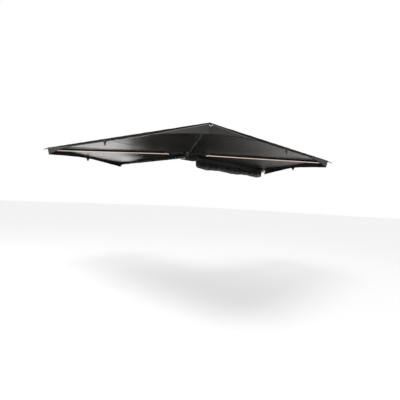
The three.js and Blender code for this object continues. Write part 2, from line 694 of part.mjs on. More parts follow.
// Mounting rail: a box extrusion with a bolt slot in its back and a bead groove low in its front
function mountingRail() {
  const length = railEnd - RAIL_START;
  const whole = layAlongX(extrude(roundedRectangle(RAIL_DEPTH, RAIL_HEIGHT, RAIL_WALL), length));
  const slotMiddle = RAIL_SLOT_HEIGHT - RAIL_HEIGHT / 2;
  const beadMiddle = BEAD_HEIGHT - RAIL_HEIGHT / 2;
  const cut = (y0, y1, z0, z1) => solidOf(box(-OVERRUN, length + OVERRUN, y0, y1, z0, z1));
  const back = RAIL_DEPTH / 2;
  const mouth = cut(back - RAIL_SLOT_DEPTH, back + OVERRUN, slotMiddle - RAIL_SLOT_MOUTH / 2,
    slotMiddle + RAIL_SLOT_MOUTH / 2);
  const slot = cut(back - RAIL_SLOT_DEPTH, back - RAIL_WALL, slotMiddle - RAIL_SLOT_WIDTH / 2,
    slotMiddle + RAIL_SLOT_WIDTH / 2);
  const grooveRadius = BEAD_RADIUS + GAP;
  const groove = new THREE.CylinderGeometry(grooveRadius, grooveRadius, length + 2 * OVERRUN, HOLE_FACETS)
    .rotateZ(Math.PI / 2)
    .translate(length / 2, BEAD_DEPTH - back, beadMiddle);
  const lip = cut(-back - OVERRUN, BEAD_DEPTH - back, beadMiddle - BEAD_LIP / 2, beadMiddle + BEAD_LIP / 2);
  const chamberBottom = beadMiddle + BEAD_RADIUS + RAIL_WALL;
  const chamberTop = slotMiddle - RAIL_SLOT_WIDTH / 2 - RAIL_WALL;
  const chamber = cut(-back + RAIL_WALL, back - RAIL_WALL, chamberBottom, chamberTop);
  const upperBottom = slotMiddle + RAIL_SLOT_WIDTH / 2 + RAIL_WALL;
  const upper = cut(-back + RAIL_WALL, back - RAIL_WALL, upperBottom, RAIL_HEIGHT / 2 - RAIL_WALL);
  let rail = solidOf(whole);
  for (const hollow of [mouth, slot, solidOf(groove), lip, chamber, upper]) rail = rail.subtract(hollow);
  return geometryOf(rail).translate(RAIL_START, (railFront + railBack) / 2, railBottom + RAIL_HEIGHT / 2);
}

// Plug of a rail cap, in the rail's upper chamber, pointing along -X from the cap's plate
function railPlug() {
  const slotMiddle = RAIL_SLOT_HEIGHT - RAIL_HEIGHT / 2;
  const back = RAIL_DEPTH / 2 - RAIL_WALL - GAP;
  return box(-CAP_PLUG_LENGTH, CAP_THICKNESS / 2, -back, back,
    slotMiddle + RAIL_SLOT_WIDTH / 2 + RAIL_WALL + GAP, RAIL_HEIGHT / 2 - RAIL_WALL - GAP);
}

function rearRailCap() {
  const plate = layAlongX(extrude(roundedRectangle(RAIL_DEPTH, RAIL_HEIGHT, RAIL_WALL), CAP_THICKNESS));
  return geometryOf(solidOf(plate).add(solidOf(railPlug())))
    .translate(GAP, 0, 0)
    .rotateZ(Math.PI)
    .translate(RAIL_START, (railFront + railBack) / 2, railBottom + RAIL_HEIGHT / 2);
}

// Front end fitting: a moulded sleeve over the ends of the rail and of arm A, closed over the rail's end
function frontEndFitting() {
  const sleeve = (width, height, margin, from, to, y, z) => {
    const outline = roundedRectangle(width + 2 * margin, height + 2 * margin, RAIL_WALL + margin);
    return solidOf(layAlongX(extrude(outline, to - from)).translate(from, y, z));
  };
  const [railY, railZ] = [(railFront + railBack) / 2, railBottom + RAIL_HEIGHT / 2];
  const [armY, armZ] = [lane('a'), tubeMiddle('a')];
  const outer = GAP + FITTING_WALL;
  const start = railEnd - FITTING_LENGTH;
  const end = railEnd + GAP + CAP_THICKNESS;
  const railSleeve = sleeve(RAIL_DEPTH, RAIL_HEIGHT, outer, start, end, railY, railZ);
  const armSleeve = sleeve(TUBE_WIDTH, TUBE_HEIGHT, outer, start, end, armY, armZ);
  const railSpace = sleeve(RAIL_DEPTH, RAIL_HEIGHT, GAP, start - OVERRUN, railEnd + GAP, railY, railZ);
  const armSpace = sleeve(TUBE_WIDTH, TUBE_HEIGHT, GAP, start - OVERRUN, end + OVERRUN, armY, armZ);
  const plug = solidOf(railPlug().translate(railEnd + GAP, railY, railZ));
  return geometryOf(railSleeve.add(armSleeve).subtract(railSpace).subtract(armSpace).add(plug));
}

// L bracket with a gusset: its leg bolts to the rail, and its flat foot has slots to bolt it down by
function railBracket(x) {
  const t = BRACKET_THICKNESS;
  const outline = new THREE.Shape([
    [0, 0], [BRACKET_FOOT, 0], [BRACKET_FOOT, t], [t, t], [t, BRACKET_RISE], [0, BRACKET_RISE],
  ].map(([y, z]) => new THREE.Vector2(y, z)));
  const angle = layAlongX(extrude(outline, BRACKET_WIDTH)).translate(-BRACKET_WIDTH / 2, 0, 0);
  const reach = BRACKET_FOOT / 2;
  const gussetOutline = new THREE.Shape([
    [t / 2, t / 2], [reach, t / 2], [reach, t], [t, BRACKET_RISE - t], [t / 2, BRACKET_RISE - t],
  ].map(([y, z]) => new THREE.Vector2(y, z)));
  const gusset = layAlongX(extrude(gussetOutline, t)).translate(-t / 2, 0, 0);
  let bracket = solidOf(angle).add(solidOf(gusset));
  for (const side of [-1, 1]) {
    const slot = extrude(roundedRectangle(BRACKET_SLOT_WIDTH, BRACKET_SLOT_LENGTH, BRACKET_SLOT_WIDTH / 2),
      t + 2 * OVERRUN, HOLE_FACETS / 4);
    slot.translate(side * BRACKET_SLOT_PITCH / 2, (t + BRACKET_FOOT) / 2, -OVERRUN);
    bracket = bracket.subtract(solidOf(slot));
  }
  return geometryOf(bracket).translate(x, railBack + GAP, 0);
}

// Saddle: a strap over arm A with an ear above and below, against the rail's front
function armSaddle(x) {
  const t = SADDLE_THICKNESS;
  const half = TUBE_HEIGHT / 2 + GAP;
  const front = -TUBE_WIDTH - 2 * GAP;
  const outline = new THREE.Shape([
    [0, half + SADDLE_EAR], [-t, half + SADDLE_EAR], [-t, half + t], [front - t, half + t],
    [front - t, -half - t], [-t, -half - t], [-t, -half - SADDLE_EAR / 2], [0, -half - SADDLE_EAR / 2],
    [0, -half], [front, -half], [front, half], [0, half],
  ].map(([y, z]) => new THREE.Vector2(y, z)));
  return layAlongX(extrude(outline, SADDLE_LENGTH))
    .translate(x - SADDLE_LENGTH / 2, railFront - GAP, tubeMiddle('a'));
}

// Bead of the travel cover, in the rail's groove, with its web through the mouth
function coverBead() {
  const length = railEnd - COVER_END_MARGIN - COVER_START;
  const z = railBottom + BEAD_HEIGHT;
  const y = railFront + BEAD_DEPTH;
  const bead = new THREE.CylinderGeometry(BEAD_RADIUS, BEAD_RADIUS, length, HOLE_FACETS)
    .rotateZ(Math.PI / 2)
    .translate(COVER_START + length / 2, y, z);
  const half = BEAD_LIP / 2 - GAP;
  const web = box(COVER_START, COVER_START + length, railFront - COVER_NECK, y, z - half, z + half);
  return geometryOf(solidOf(bead).add(solidOf(web)));
}

// Travel cover: a slack pouch that hangs from the bead in soft folds
function travelCover() {
  const end = railEnd - COVER_END_MARGIN;
  const top = railBottom + BEAD_HEIGHT;
  const back = railFront - COVER_NECK - GAP;
  const profileShares = [
    [0, -0.28], [0, -0.62], [-0.1, -0.9], [-0.36, -1], [-0.72, -0.97], [-1, -0.78],
    [-0.86, -0.5], [-0.42, -0.18], [-0.12, 0.04], [0, 0.06],
  ]; // depth towards the arms and height, as shares of the pouch's bulge and drop
  const rings = [];
  for (let station = 0; station <= COVER_STATIONS; station += 1) {
    const share = station / COVER_STATIONS;
    const x = THREE.MathUtils.lerp(COVER_START, end, share);
    const open = Math.min(1, Math.min(share, 1 - share) / COVER_TAPER_SHARES.length);
    const fold = COVER_FOLD * Math.sin(2 * Math.PI * COVER_FOLDS * share);
    const slack = COVER_FOLD * Math.sin(2 * Math.PI * COVER_WAVES * share);
    const bulge = (COVER_BULGE + fold) * THREE.MathUtils.lerp(COVER_TAPER_SHARES.bulge, 1, open);
    const depth = (COVER_DEPTH + slack) * THREE.MathUtils.lerp(COVER_TAPER_SHARES.depth, 1, open);
    rings.push(profileShares.map(([across, down]) => new THREE.Vector3(
      x,
      back + across * bulge,
      top + down * (down < 0 ? depth : COVER_NECK),
    )));
  }
  return loftGeometry(rings);
}

// Joins closed rings of points into one body with flat ends
function loftGeometry(rings) {
  const count = rings[0].length;
  const points = rings.flat();
  const index = [];
  for (let ring = 0; ring + 1 < rings.length; ring += 1) {
    for (let i = 0; i < count; i += 1) {
      const a = ring * count + i;
      const b = ring * count + (i + 1) % count;
      index.push(a, a + count, b + count, a, b + count, b);
    }
  }
  for (const [ring, flip] of [[0, false], [rings.length - 1, true]]) {
    const centre = rings[ring].reduce((sum, p) => sum.add(p), new THREE.Vector3()).divideScalar(count);
    const middle = points.push(centre) - 1;
    for (let i = 0; i < count; i += 1) {
      const a = ring * count + i;
      const b = ring * count + (i + 1) % count;
      index.push(middle, ...(flip ? [b, a] : [a, b]));
    }
  }
  const geometry = new THREE.BufferGeometry().setFromPoints(points);
  geometry.setIndex(index);
  return geometry;
}

// Assembly: the hub
const pinTop = nutBottom + NUT_HEIGHT + PIN_END;
addPiece('hub_foot', hubFoot(), STEEL);
addPiece('hub_pin', post(PIN_RADIUS, FOOT_THICKNESS + GAP, pinTop, PIN_FACETS), ZINC);
addPiece('hub_nut', pinNut(), ZINC);
washerLevels.forEach((bottom, i) => addPiece(`thrust_washer_${i + 1}`, washer(bottom), NYLON));

// Assembly: the rail, its caps, brackets and saddles
addPiece('mounting_rail', mountingRail(), ALUMINIUM);
addPiece('rail_cap_rear', rearRailCap(), PLASTIC);
addPiece('rail_cap_front', frontEndFitting(), GREY_PLASTIC);
for (let i = 0; i < BRACKET_COUNT; i += 1) {
  addPiece(`rail_bracket_${i + 1}`, railBracket(BRACKET_FIRST + i * BRACKET_PITCH), STEEL);
}
for (let i = 0; i < SADDLE_COUNT; i += 1) {
  addPiece(`arm_a_saddle_${i + 1}`, armSaddle(SADDLE_FIRST + i * SADDLE_PITCH), STEEL);
}

// Assembly: the arms, each in its own turned group
for (const arm of ARMS) {
  addPiece(`arm_${arm}_tube`, armTube(arm), ALUMINIUM, armGroups[arm]);
  addPiece(`arm_${arm}_tip_cap`, endCap(arm, tubeEnd(arm), 1), PLASTIC, armGroups[arm]);
}
addPiece('arm_a_inner_cap', endCap('a', RAIL_START, -1), PLASTIC, armGroups.a);
for (const arm of HINGED) {
  addPiece(`arm_${arm}_knuckle`, knuckle(arm), STEEL, armGroups[arm]);
  addPiece(`arm_${arm}_bolt`, crossBolt(arm), ZINC, armGroups[arm]);
  addPiece(`corner_loop_${arm}`, cornerLoop(arm), WEBBING, armGroups[arm]);
  addPiece(`corner_ring_${arm}`, cornerRing(arm), ZINC, armGroups[arm]);
}
for (const arm of UPPER_ROW) {
  addPiece(`light_channel_${arm}`, stripChannel(arm), ALUMINIUM, armGroups[arm]);
  addPiece(`light_lens_${arm}`, stripLens(arm), LENS, armGroups[arm]);
}

// Assembly: the canopy and the travel cover
for (let i = 0; i + 1 < ARMS.length; i += 1) {
  const [from, to] = [ARMS[i], ARMS[i + 1]];
  addPiece(`canopy_${from}${to}`, panel(from, to), CLOTH_FINISH);
  addPiece(`pull_tab_${from}${to}`, pullTab(from, to), WEBBING);
}
addPiece('canopy_crown', crown(), CLOTH_FINISH);
addPiece('cover_bead', coverBead(), PLASTIC);
addPiece('travel_cover', travelCover(), COVER_FINISH);

export default awning;
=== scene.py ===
"""Looks of a freestanding fan awning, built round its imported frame.

Metres, Z up. Arm A lies along +X on the mounting rail, and arms B to E open clockwise seen from above.
"""

import math

import bmesh
import bpy
import numpy as np
from mathutils import Matrix, Vector


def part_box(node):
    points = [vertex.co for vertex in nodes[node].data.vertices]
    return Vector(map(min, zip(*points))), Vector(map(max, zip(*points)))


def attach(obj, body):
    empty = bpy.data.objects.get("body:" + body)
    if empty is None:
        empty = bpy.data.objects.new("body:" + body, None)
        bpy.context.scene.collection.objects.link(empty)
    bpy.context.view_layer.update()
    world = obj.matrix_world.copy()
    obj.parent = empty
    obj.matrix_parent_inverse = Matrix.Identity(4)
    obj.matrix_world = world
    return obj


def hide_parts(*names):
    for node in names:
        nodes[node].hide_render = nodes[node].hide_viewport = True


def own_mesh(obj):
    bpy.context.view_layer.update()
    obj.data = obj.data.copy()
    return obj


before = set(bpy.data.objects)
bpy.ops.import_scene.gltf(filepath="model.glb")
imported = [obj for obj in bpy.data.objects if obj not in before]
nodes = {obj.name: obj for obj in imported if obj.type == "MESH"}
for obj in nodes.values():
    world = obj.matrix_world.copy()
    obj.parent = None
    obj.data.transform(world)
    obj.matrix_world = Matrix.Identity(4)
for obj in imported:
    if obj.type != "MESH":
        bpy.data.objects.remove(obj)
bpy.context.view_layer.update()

# Sizes that the frame is built on
REACH = 2.100  # from the pin to each corner of the canopy
OPEN_ANGLE = {"a": 0, "b": 40, "c": 130.5, "d": 234.5, "e": 277.5}
TUBE_WIDTH = 0.026
TUBE_HEIGHT = 0.030
LANE_PITCH = 0.018
LANES = {"a": 2, "b": 1, "c": 0, "d": -1, "e": -2}
ARMS = "abcde"
UPPER_ARMS = "bd"
BODY = {"a": "base", "b": "arm_b", "c": "arm_c", "d": "arm_d", "e": "arm_e"}
PANELS = ["ab", "bc", "cd", "de"]
TUBE_BASE = {arm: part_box(f"arm_{arm}_tube")[0].z for arm in ARMS}
CLOTH_RISE = TUBE_HEIGHT + 0.0065  # from a tube's underside to the top of the cloth
TIP_SETBACK = 0.040
HUB_CLOTH = TUBE_BASE["d"] + CLOTH_RISE
RAIL_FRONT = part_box("mounting_rail")[0].y
RAIL_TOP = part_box("mounting_rail")[1].z

# The canopy
PANEL_START = 0.100
HUB_RUN = 0.240
SAG_SHARE = 0.011
CORNER_DROP = {"a": 0.095, "b": 0.102, "c": 0.095, "d": 0.102, "e": 0.071}
HEM_DROP = 0.032
DROP_RUN = 0.900
DROP_POWER = 1.6
CORNER_INSET = 0.024
INSET_RUN = 0.260
EDGE_RADIUS = 0.007
EDGE_ARC = EDGE_RADIUS * math.pi / 2
CLOTH_THICKNESS = 0.0012
SEAM_GAP = 0.0004
AB_START = 0.0094  # from arm A's middle to the cloth's side on its clamping rib
FLAP_RETURN = 0.120  # of the side flap round corner E
FLAP_FOOT = 0.0075  # from the tube's top down to the side flap's lower edge
APRON_REACH = (0.085, 0.115)  # from the pin to the apron's start, and from its end to corner A
APRON_SIDE = 0.0410  # from the pin's middle line to the apron's inner edge
APRON_OVER_RAIL = (0.230, 0.330)  # between these the apron comes down from the rail's top to its face
TENSION_FOLD = 0.0016  # height of the folds that run out of the corners
HEM_RIPPLE = 0.0007
HEM_WAVE = 0.0020
SLACK = 0.0026
OUT_STEPS = 110
ACROSS_STEPS = 64
DROP_STEPS = 14
ROUND_STEPS = 4

# Tapes and trim sewn on the canopy
TRIM_THICKNESS = 0.0007
TRIM_RISE = 0.0011
BAND_AT_CORNER = 0.014
# Width of the light grey cord under the band, a painted highlight
HIGHLIGHT_LINE_WIDTH = 0.0036
BINDING = 0.006
SEAM_TAPE = 0.014
ARM_TAPE = {"b": 0.032, "c": 0.019, "d": 0.032}  # narrower where the next arm folds close above
PATCH_LENGTH = 0.170
PATCH_WIDTH = 0.075

# Keepers, webbing, tabs and the crown
SLEEVE_GAP = 0.0011  # from a tube's face to the middle of a pocket or keeper round it
KEEPER_PLACES = (0.55, 0.95, 1.35, 1.75)  # along arms C and E
KEEPER_WIDTH = 0.025
KEEPER_THICKNESS = 0.0014
LOOP_WIDTH = 0.014
LOOP_BIGHT = 0.0456  # from the loop's seat to the middle of its outer bend
LOOP_INNER_END = 0.0062  # from the seat inwards
LOOP_SPREAD_START = 0.022  # where the two layers part
LOOP_TWIST = (0.012, 0.020)  # start and length of the quarter twist
LOOP_RADIUS = 0.0052
WEBBING_THICKNESS = 0.0019
LOOP_TILT = math.radians(14)
LOOP_BELOW_TOP = 0.014
TAB_WIDTH = 0.025
TAB_LENGTH = 0.074
TAB_FLARE = 0.112
TAB_ROOT = 0.004  # from the rounded edge down to the tab's flared root
TAB_FLARE_PAST_HEM = 0.032
TOGGLE_LENGTH = 0.036
TOGGLE_RADIUS = 0.0042
CROWN_RADIUS = 0.125
CROWN_RISE = 0.0125
CROWN_RIM = HUB_CLOTH + 0.0014
CROWN_SKIRT = 0.024
CROWN_OPEN_SIDE = (24, 84)  # bearings in degrees of the side without a panel
CROWN_GORES = 10
CROWN_GATHERS = 46
CROWN_STEPS = 160

# The travel cover hangs from its bead in the rail's groove
COVER_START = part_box("travel_cover")[0].x
COVER_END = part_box("travel_cover")[1].x
COVER_TOP = 0.0183
COVER_BACK = RAIL_FRONT - 0.0056
COVER_DEPTH = 0.118
COVER_BULGE = 0.040
COVER_FOLD = 0.007
COVER_STATIONS = 190


# Settings, colours and shader nodes


def with_settings(thing, **settings):
    for name, value in settings.items():
        setattr(thing, name, value)
    return thing


def srgb(text):
    """A hex colour as linear RGBA."""
    values = [int(text[i : i + 2], 16) / 255 for i in (1, 3, 5)]
    linear = [v / 12.92 if v <= 0.04045 else ((v + 0.055) / 1.055) ** 2.4 for v in values]
    return (*linear, 1.0)


def add_node(tree, kind, inputs=None, output=0, **settings):
    """Adds a node with its settings, and each input as a value or a socket; returns one of its outputs."""
    node = with_settings(tree.nodes.new(kind), **settings)
    for key, value in (inputs or {}).items():
        if isinstance(value, bpy.types.NodeSocket):
            tree.links.new(value, node.inputs[key])
        else:
            node.inputs[key].default_value = value
    return node.outputs[output] if node.outputs else None


def new_finish(name, **shader_values):
    """A material with a Principled shader; returns the material, its tree and the shader."""
    material = bpy.data.materials.new(name)
    material.use_nodes = True
    tree = material.node_tree
    shader = tree.nodes["Principled BSDF"]
    for key, value in shader_values.items():
        shader.inputs[key.replace("_", " ")].default_value = value
    return material, tree, shader


def paint(tree, shader, tone, dark, light, socket="Base Color"):
    """Colours the shader between two sRGB values, by a tone from 0 to 1."""
    inputs = {"Factor": tone, "A": srgb(dark), "B": srgb(light)}
    tree.links.new(add_node(tree, "ShaderNodeMix", inputs, "Result", data_type="RGBA"), shader.inputs[socket])


def vary_roughness(tree, shader, tone, first, last, span=(0.0, 1.0)):
    """Takes the roughness from `first` to `last` over a span of a tone."""
    inputs = {"Value": tone, "From Min": span[0], "From Max": span[1], "To Min": first, "To Max": last}
    tree.links.new(add_node(tree, "ShaderNodeMapRange", inputs), shader.inputs["Roughness"])


def relief(tree, shader, *layers):
    """Bump from coarse to fine; each layer is a height, its size in metres and a strength."""
    normal = {}
    for height, distance, strength in layers:
        inputs = {"Height": height, "Distance": distance, "Strength": strength, **normal}
        normal = {"Normal": add_node(tree, "ShaderNodeBump", inputs)}
    tree.links.new(normal["Normal"], shader.inputs["Normal"])


def patches(tree, place, size, detail=3.0, roughness=0.55, span=(0.0, 1.0)):
    """Soft patches about `size` metres across, as a tone that goes from 0 to 1 over a span of the noise."""
    inputs = {"Vector": place, "Scale": 1 / size, "Detail": detail, "Roughness": roughness}
    value = add_node(tree, "ShaderNodeTexNoise", inputs, "Fac")
    return add_node(tree, "ShaderNodeMapRange", {"Value": value, "From Min": span[0], "From Max": span[1]})


WAVES_PER_METRE = 20 / (2 * math.pi)  # of a wave texture whose scale is 1


def threads(tree, place, *runs, crossing="MULTIPLY"):
    """Rows of threads; each run is a direction and a spacing in metres, and two runs cross."""
    rows = {}
    for direction, spacing in runs:
        inputs = {"Vector": place, "Scale": 1 / (spacing * WAVES_PER_METRE)}
        rows[len(rows)] = add_node(tree, "ShaderNodeTexWave", inputs, "Fac", bands_direction=direction)
    return rows[0] if len(rows) == 1 else add_node(tree, "ShaderNodeMath", rows, operation=crossing)


def object_coordinates(tree, turn=0.0, scale=(1, 1, 1)):
    """Places on a piece in the frame's own metres, turned and scaled to follow an arm."""
    place = add_node(tree, "ShaderNodeTexCoord", output="Object")
    if turn or scale != (1, 1, 1):
        place = add_node(tree, "ShaderNodeMapping", {"Vector": place, "Rotation": (0, 0, turn)})
        place = add_node(tree, "ShaderNodeMapping", {"Vector": place, "Scale": scale})
    return place


# Finishes; those of cloth, tape and webbing follow the piece's own UVs, which are in metres


def ripstop_polyester(name, dark, light, roughness, shine=0.5):
    """Coated ripstop polyester: a fine even weave, a raised grid of thicker threads and soft creases."""
    material, tree, shader = new_finish(name, Roughness=roughness, IOR=1.5, Specular_IOR_Level=shine)
    uv = add_node(tree, "ShaderNodeUVMap", uv_map="UVMap")
    paint(tree, shader, patches(tree, uv, 0.30, 5.0, span=(0.3, 0.7)), dark, light)
    # Real threads are too fine to show, so the grid is 10 mm apart and the weave 1.6 mm
    grid = threads(tree, uv, ("X", 0.010), ("Y", 0.010), crossing="MAXIMUM")
    grid = add_node(tree, "ShaderNodeMapRange", {"Value": grid, "From Min": 0.86})
    weave = threads(tree, uv, ("X", 0.0016), ("Y", 0.0016))
    height = add_node(tree, "ShaderNodeMath", {0: weave, 1: 0.4, 2: grid}, operation="MULTIPLY_ADD")
    creases = patches(tree, uv, 0.075, 4.0, 0.5)
    relief(tree, shader, (creases, 0.006, 0.45), (height, 0.00022, 0.8))
    return material


def grosgrain_tape(name, dark, light):
    """Woven polyester tape: close cross ribs, matt."""
    material, tree, shader = new_finish(name, Roughness=0.88, IOR=1.5, Specular_IOR_Level=0.2)
    uv = add_node(tree, "ShaderNodeUVMap", uv_map="UVMap")
    paint(tree, shader, patches(tree, uv, 0.05, 4.0, span=(0.35, 0.7)), dark, light)
    # Ribs 2.2 mm apart, because real ones of half that are too fine to show
    relief(tree, shader, (threads(tree, uv, ("X", 0.0022)), 0.0003, 1.0))
    return material


def nylon_webbing(name, dark, light):
    """Heavy nylon webbing: a twill of thick yarns with a slight shine."""
    material, tree, shader = new_finish(name, Roughness=0.7, IOR=1.53, Specular_IOR_Level=0.3)
    uv = add_node(tree, "ShaderNodeUVMap", uv_map="UVMap")
    paint(tree, shader, patches(tree, uv, 0.012, 4.0, span=(0.35, 0.7)), dark, light)
    # Yarns of 2 and 3 mm, because real ones of about 1 mm are too fine to show
    relief(tree, shader, (threads(tree, uv, ("DIAGONAL", 0.0030), ("X", 0.0020)), 0.0005, 1.0))
    return material


def powder_coat():
    """Black polyester powder coat on steel: a fine orange peel, rubbed a little paler and smoother."""
    material, tree, shader = new_finish("powder_coated_steel", IOR=1.5)
    place = object_coordinates(tree)
    rubbed = patches(tree, place, 0.030, 6.0, 0.65, span=(0.52, 0.72))
    paint(tree, shader, rubbed, "#1b1c1e", "#2e2f31")
    vary_roughness(tree, shader, rubbed, 0.55, 0.4)
    relief(tree, shader, (patches(tree, place, 0.0016, 2.0), 0.00012, 1.0))
    return material


def anodised_aluminium(name, turn):
    """Black anodised extrusion: satin, with faint die lines along its length."""
    material, tree, shader = new_finish(name, Metallic=0.6)
    lines = patches(tree, object_coordinates(tree, turn, (0.02, 1, 1)), 0.0022, span=(0.3, 0.7))
    paint(tree, shader, lines, "#101011", "#1d1c1c")
    vary_roughness(tree, shader, lines, 0.32, 0.48)
    relief(tree, shader, (lines, 0.00002, 1.0))
    return material


def zinc_plate():
    """Bright zinc plate on steel: bluish grey, with cloudy reflections."""
    material, tree, shader = new_finish("zinc_plated_steel", Metallic=1.0)
    place = object_coordinates(tree)
    clouds = patches(tree, place, 0.008, 4.0)
    paint(tree, shader, clouds, "#a8abaf", "#d2d4d7")
    vary_roughness(tree, shader, clouds, 0.24, 0.42, span=(0.3, 0.7))
    relief(tree, shader, (patches(tree, place, 0.0015, 2.0), 0.00004, 1.0))
    return material


def moulded_plastic(name, dark, light, roughness):
    """Glass-filled nylon or ABS from a spark-eroded mould: an even fine grain."""
    material, tree, shader = new_finish(name, Roughness=roughness, IOR=1.54)
    place = object_coordinates(tree)
    paint(tree, shader, patches(tree, place, 0.020), dark, light)
    # A grain of 0.9 mm, because the real one of 0.1 mm is too fine to show
    relief(tree, shader, (patches(tree, place, 0.0009, 2.0), 0.00010, 1.0))
    return material


def opal_diffuser(turn, strength):
    """Opal polycarbonate over a strip of chips, with a glow that is partly painted light, as bright as the
    strip looks under the canopy: each chip behind it shows as a faint brighter spot.
    """
    values = {"Roughness": 0.32, "IOR": 1.58, "Emission_Strength": strength}
    material, tree, shader = new_finish(f"opal_diffuser_{round(turn * 100)}", **values)
    place = object_coordinates(tree, turn)
    chips = threads(tree, place, ("X", 0.0333))
    chips = add_node(tree, "ShaderNodeMapRange", {"Value": chips, "From Min": 0.55})
    clouds = patches(tree, place, 0.2, 2.0, span=(0.3, 0.7))
    clouds = add_node(tree, "ShaderNodeMapRange", {"Value": clouds, "To Min": 0.6})
    glow = add_node(tree, "ShaderNodeMath", {0: chips, 1: clouds}, operation="MULTIPLY")
    paint(tree, shader, glow, "#b9aba1", "#c8bbb1")
    # The emission is partly painted light: it stands in for how bright the strip looks under the canopy
    paint(tree, shader, glow, "#dcc5b7", "#f3e4da", "Emission Color")
    relief(tree, shader, (patches(tree, place, 0.004, 2.0), 0.00005, 1.0))
    return material


def coated_cover_cloth():
    """Vinyl-coated polyester: black, a little shiny, with the base cloth's grid showing."""
    material, tree, shader = new_finish("vinyl_coated_cloth", IOR=1.52)
    uv = add_node(tree, "ShaderNodeUVMap", uv_map="UVMap")
    scuffs = patches(tree, uv, 0.09, 6.0, 0.65, span=(0.5, 0.75))
    paint(tree, shader, scuffs, "#161617", "#262627")
    vary_roughness(tree, shader, scuffs, 0.44, 0.62)
    # The base cloth's grid is 3 mm apart, because the real one of 1 mm is too fine to show
    grid = threads(tree, uv, ("X", 0.003), ("Y", 0.003), crossing="MAXIMUM")
    relief(tree, shader, (patches(tree, uv, 0.06, 4.0), 0.006, 0.6), (grid, 0.0002, 0.6))
    return material


def sewing_thread(name, dark, light):
    """Bonded polyester thread: twisted plies, drawn as coarse as the stitches that they are on."""
    material, tree, shader = new_finish(name, Roughness=0.6, IOR=1.5)
    plies = threads(tree, object_coordinates(tree), ("DIAGONAL", 0.0011))
    paint(tree, shader, plies, dark, light)
    relief(tree, shader, (plies, 0.0002, 1.0))
    return material


CANOPY_OUTSIDE = ripstop_polyester("ripstop_outside", "#2d2c2d", "#363637", 0.62, 0.25)
CANOPY_INSIDE = ripstop_polyester("ripstop_inside", "#191816", "#22201e", 0.30)
HEM_LINING = ripstop_polyester("hem_lining", "#0b0b0c", "#121213", 0.75)
TAPE = grosgrain_tape("grosgrain_tape", "#08080a", "#101011")
# Light grey cord along the lower edge of the hem's band: a painted highlight
PAINTED_HIGHLIGHT_CORD = grosgrain_tape("painted_highlight_cord", "#7e8080", "#969898")
WEBBING = nylon_webbing("nylon_webbing", "#0e0e0f", "#191919")
STEEL = powder_coat()
ZINC = zinc_plate()
BLACK_PLASTIC = moulded_plastic("black_glass_filled_nylon", "#141516", "#1c1d1e", 0.55)
GREY_PLASTIC = moulded_plastic("light_grey_plastic", "#b9bbbc", "#c8cacb", 0.5)
NATURAL_NYLON = moulded_plastic("natural_nylon", "#dcd8cc", "#e8e5dc", 0.42)
COVER_CLOTH = coated_cover_cloth()
THREAD = sewing_thread("bonded_thread_grey", "#58585a", "#77777a")
DARK_THREAD = sewing_thread("bonded_thread_dark", "#2a2a2b", "#3c3c3d")
ARM_METAL = {arm: anodised_aluminium(f"anodised_arm_{arm}", math.radians(OPEN_ANGLE[arm])) for arm in ARMS}
# Glow of each strip, set apart for each arm to how bright it looks: partly painted light besides the strip's
# own
PAINTED_GLOW = {"b": 0.68, "d": 0.56}
DIFFUSER = {arm: opal_diffuser(math.radians(OPEN_ANGLE[arm]), PAINTED_GLOW[arm]) for arm in UPPER_ARMS}


# Meshes


def finish_piece(piece, body, stands_for=()):
    """Puts a piece on its body."""
    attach(piece, body)
    if stands_for:
        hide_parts(*stands_for)
    return piece


def link_object(name, data):
    item = bpy.data.objects.new(name, data)
    bpy.context.scene.collection.objects.link(item)
    return item


def mesh_object(name, points, faces, materials, smooth=True):
    mesh = bpy.data.meshes.new(name)
    mesh.from_pydata([tuple(p) for p in points], [], [tuple(int(i) for i in f) for f in faces])
    for material in materials:
        mesh.materials.append(material)
    if smooth:
        mesh.shade_smooth()
    return link_object(name, mesh)


def grid_faces(rows, columns):
    at = np.arange(rows * columns).reshape(rows, columns)
    return np.stack([at[:-1, :-1], at[:-1, 1:], at[1:, 1:], at[1:, :-1]], -1).reshape(-1, 4)


def measured_uv(grid):
    """UVs in metres, measured along a grid's rows and columns."""
    down = np.linalg.norm(np.diff(grid, axis=0), axis=-1).mean(axis=1)
    across = np.linalg.norm(np.diff(grid, axis=1), axis=-1).mean(axis=0)
    v = np.concatenate([[0], np.cumsum(down)])
    u = np.concatenate([[0], np.cumsum(across)])
    return np.stack(np.meshgrid(u, v), -1)


def joined_sheets(name, sheets, materials, thickness, inner_slot=0):
    """One piece of cloth from several grids, each given as points, the material's slot and maybe its UVs."""
    points, faces, uvs, slots = [], [], [], []
    start = 0
    for grid, slot, *given in sheets:
        uv = given[0] if given else measured_uv(grid)
        quads = grid_faces(*grid.shape[:2])
        points.append(grid.reshape(-1, 3))
        faces.append(quads + start)
        uvs.append(uv.reshape(-1, 2)[quads.ravel()])
        slots.append(np.broadcast_to(slot, len(quads)))
        start += grid.shape[0] * grid.shape[1]
    piece = mesh_object(name, np.concatenate(points), np.concatenate(faces), materials)
    layer = piece.data.uv_layers.new(name="UVMap")
    layer.data.foreach_set("uv", np.concatenate(uvs).astype(np.float32).ravel())
    piece.data.polygons.foreach_set("material_index", np.concatenate(slots).astype(np.int32))
    slots = {"material_offset": inner_slot, "material_offset_rim": inner_slot}
    with_settings(piece.modifiers.new("thickness", "SOLIDIFY"), thickness=thickness, offset=0, **slots)
    return piece


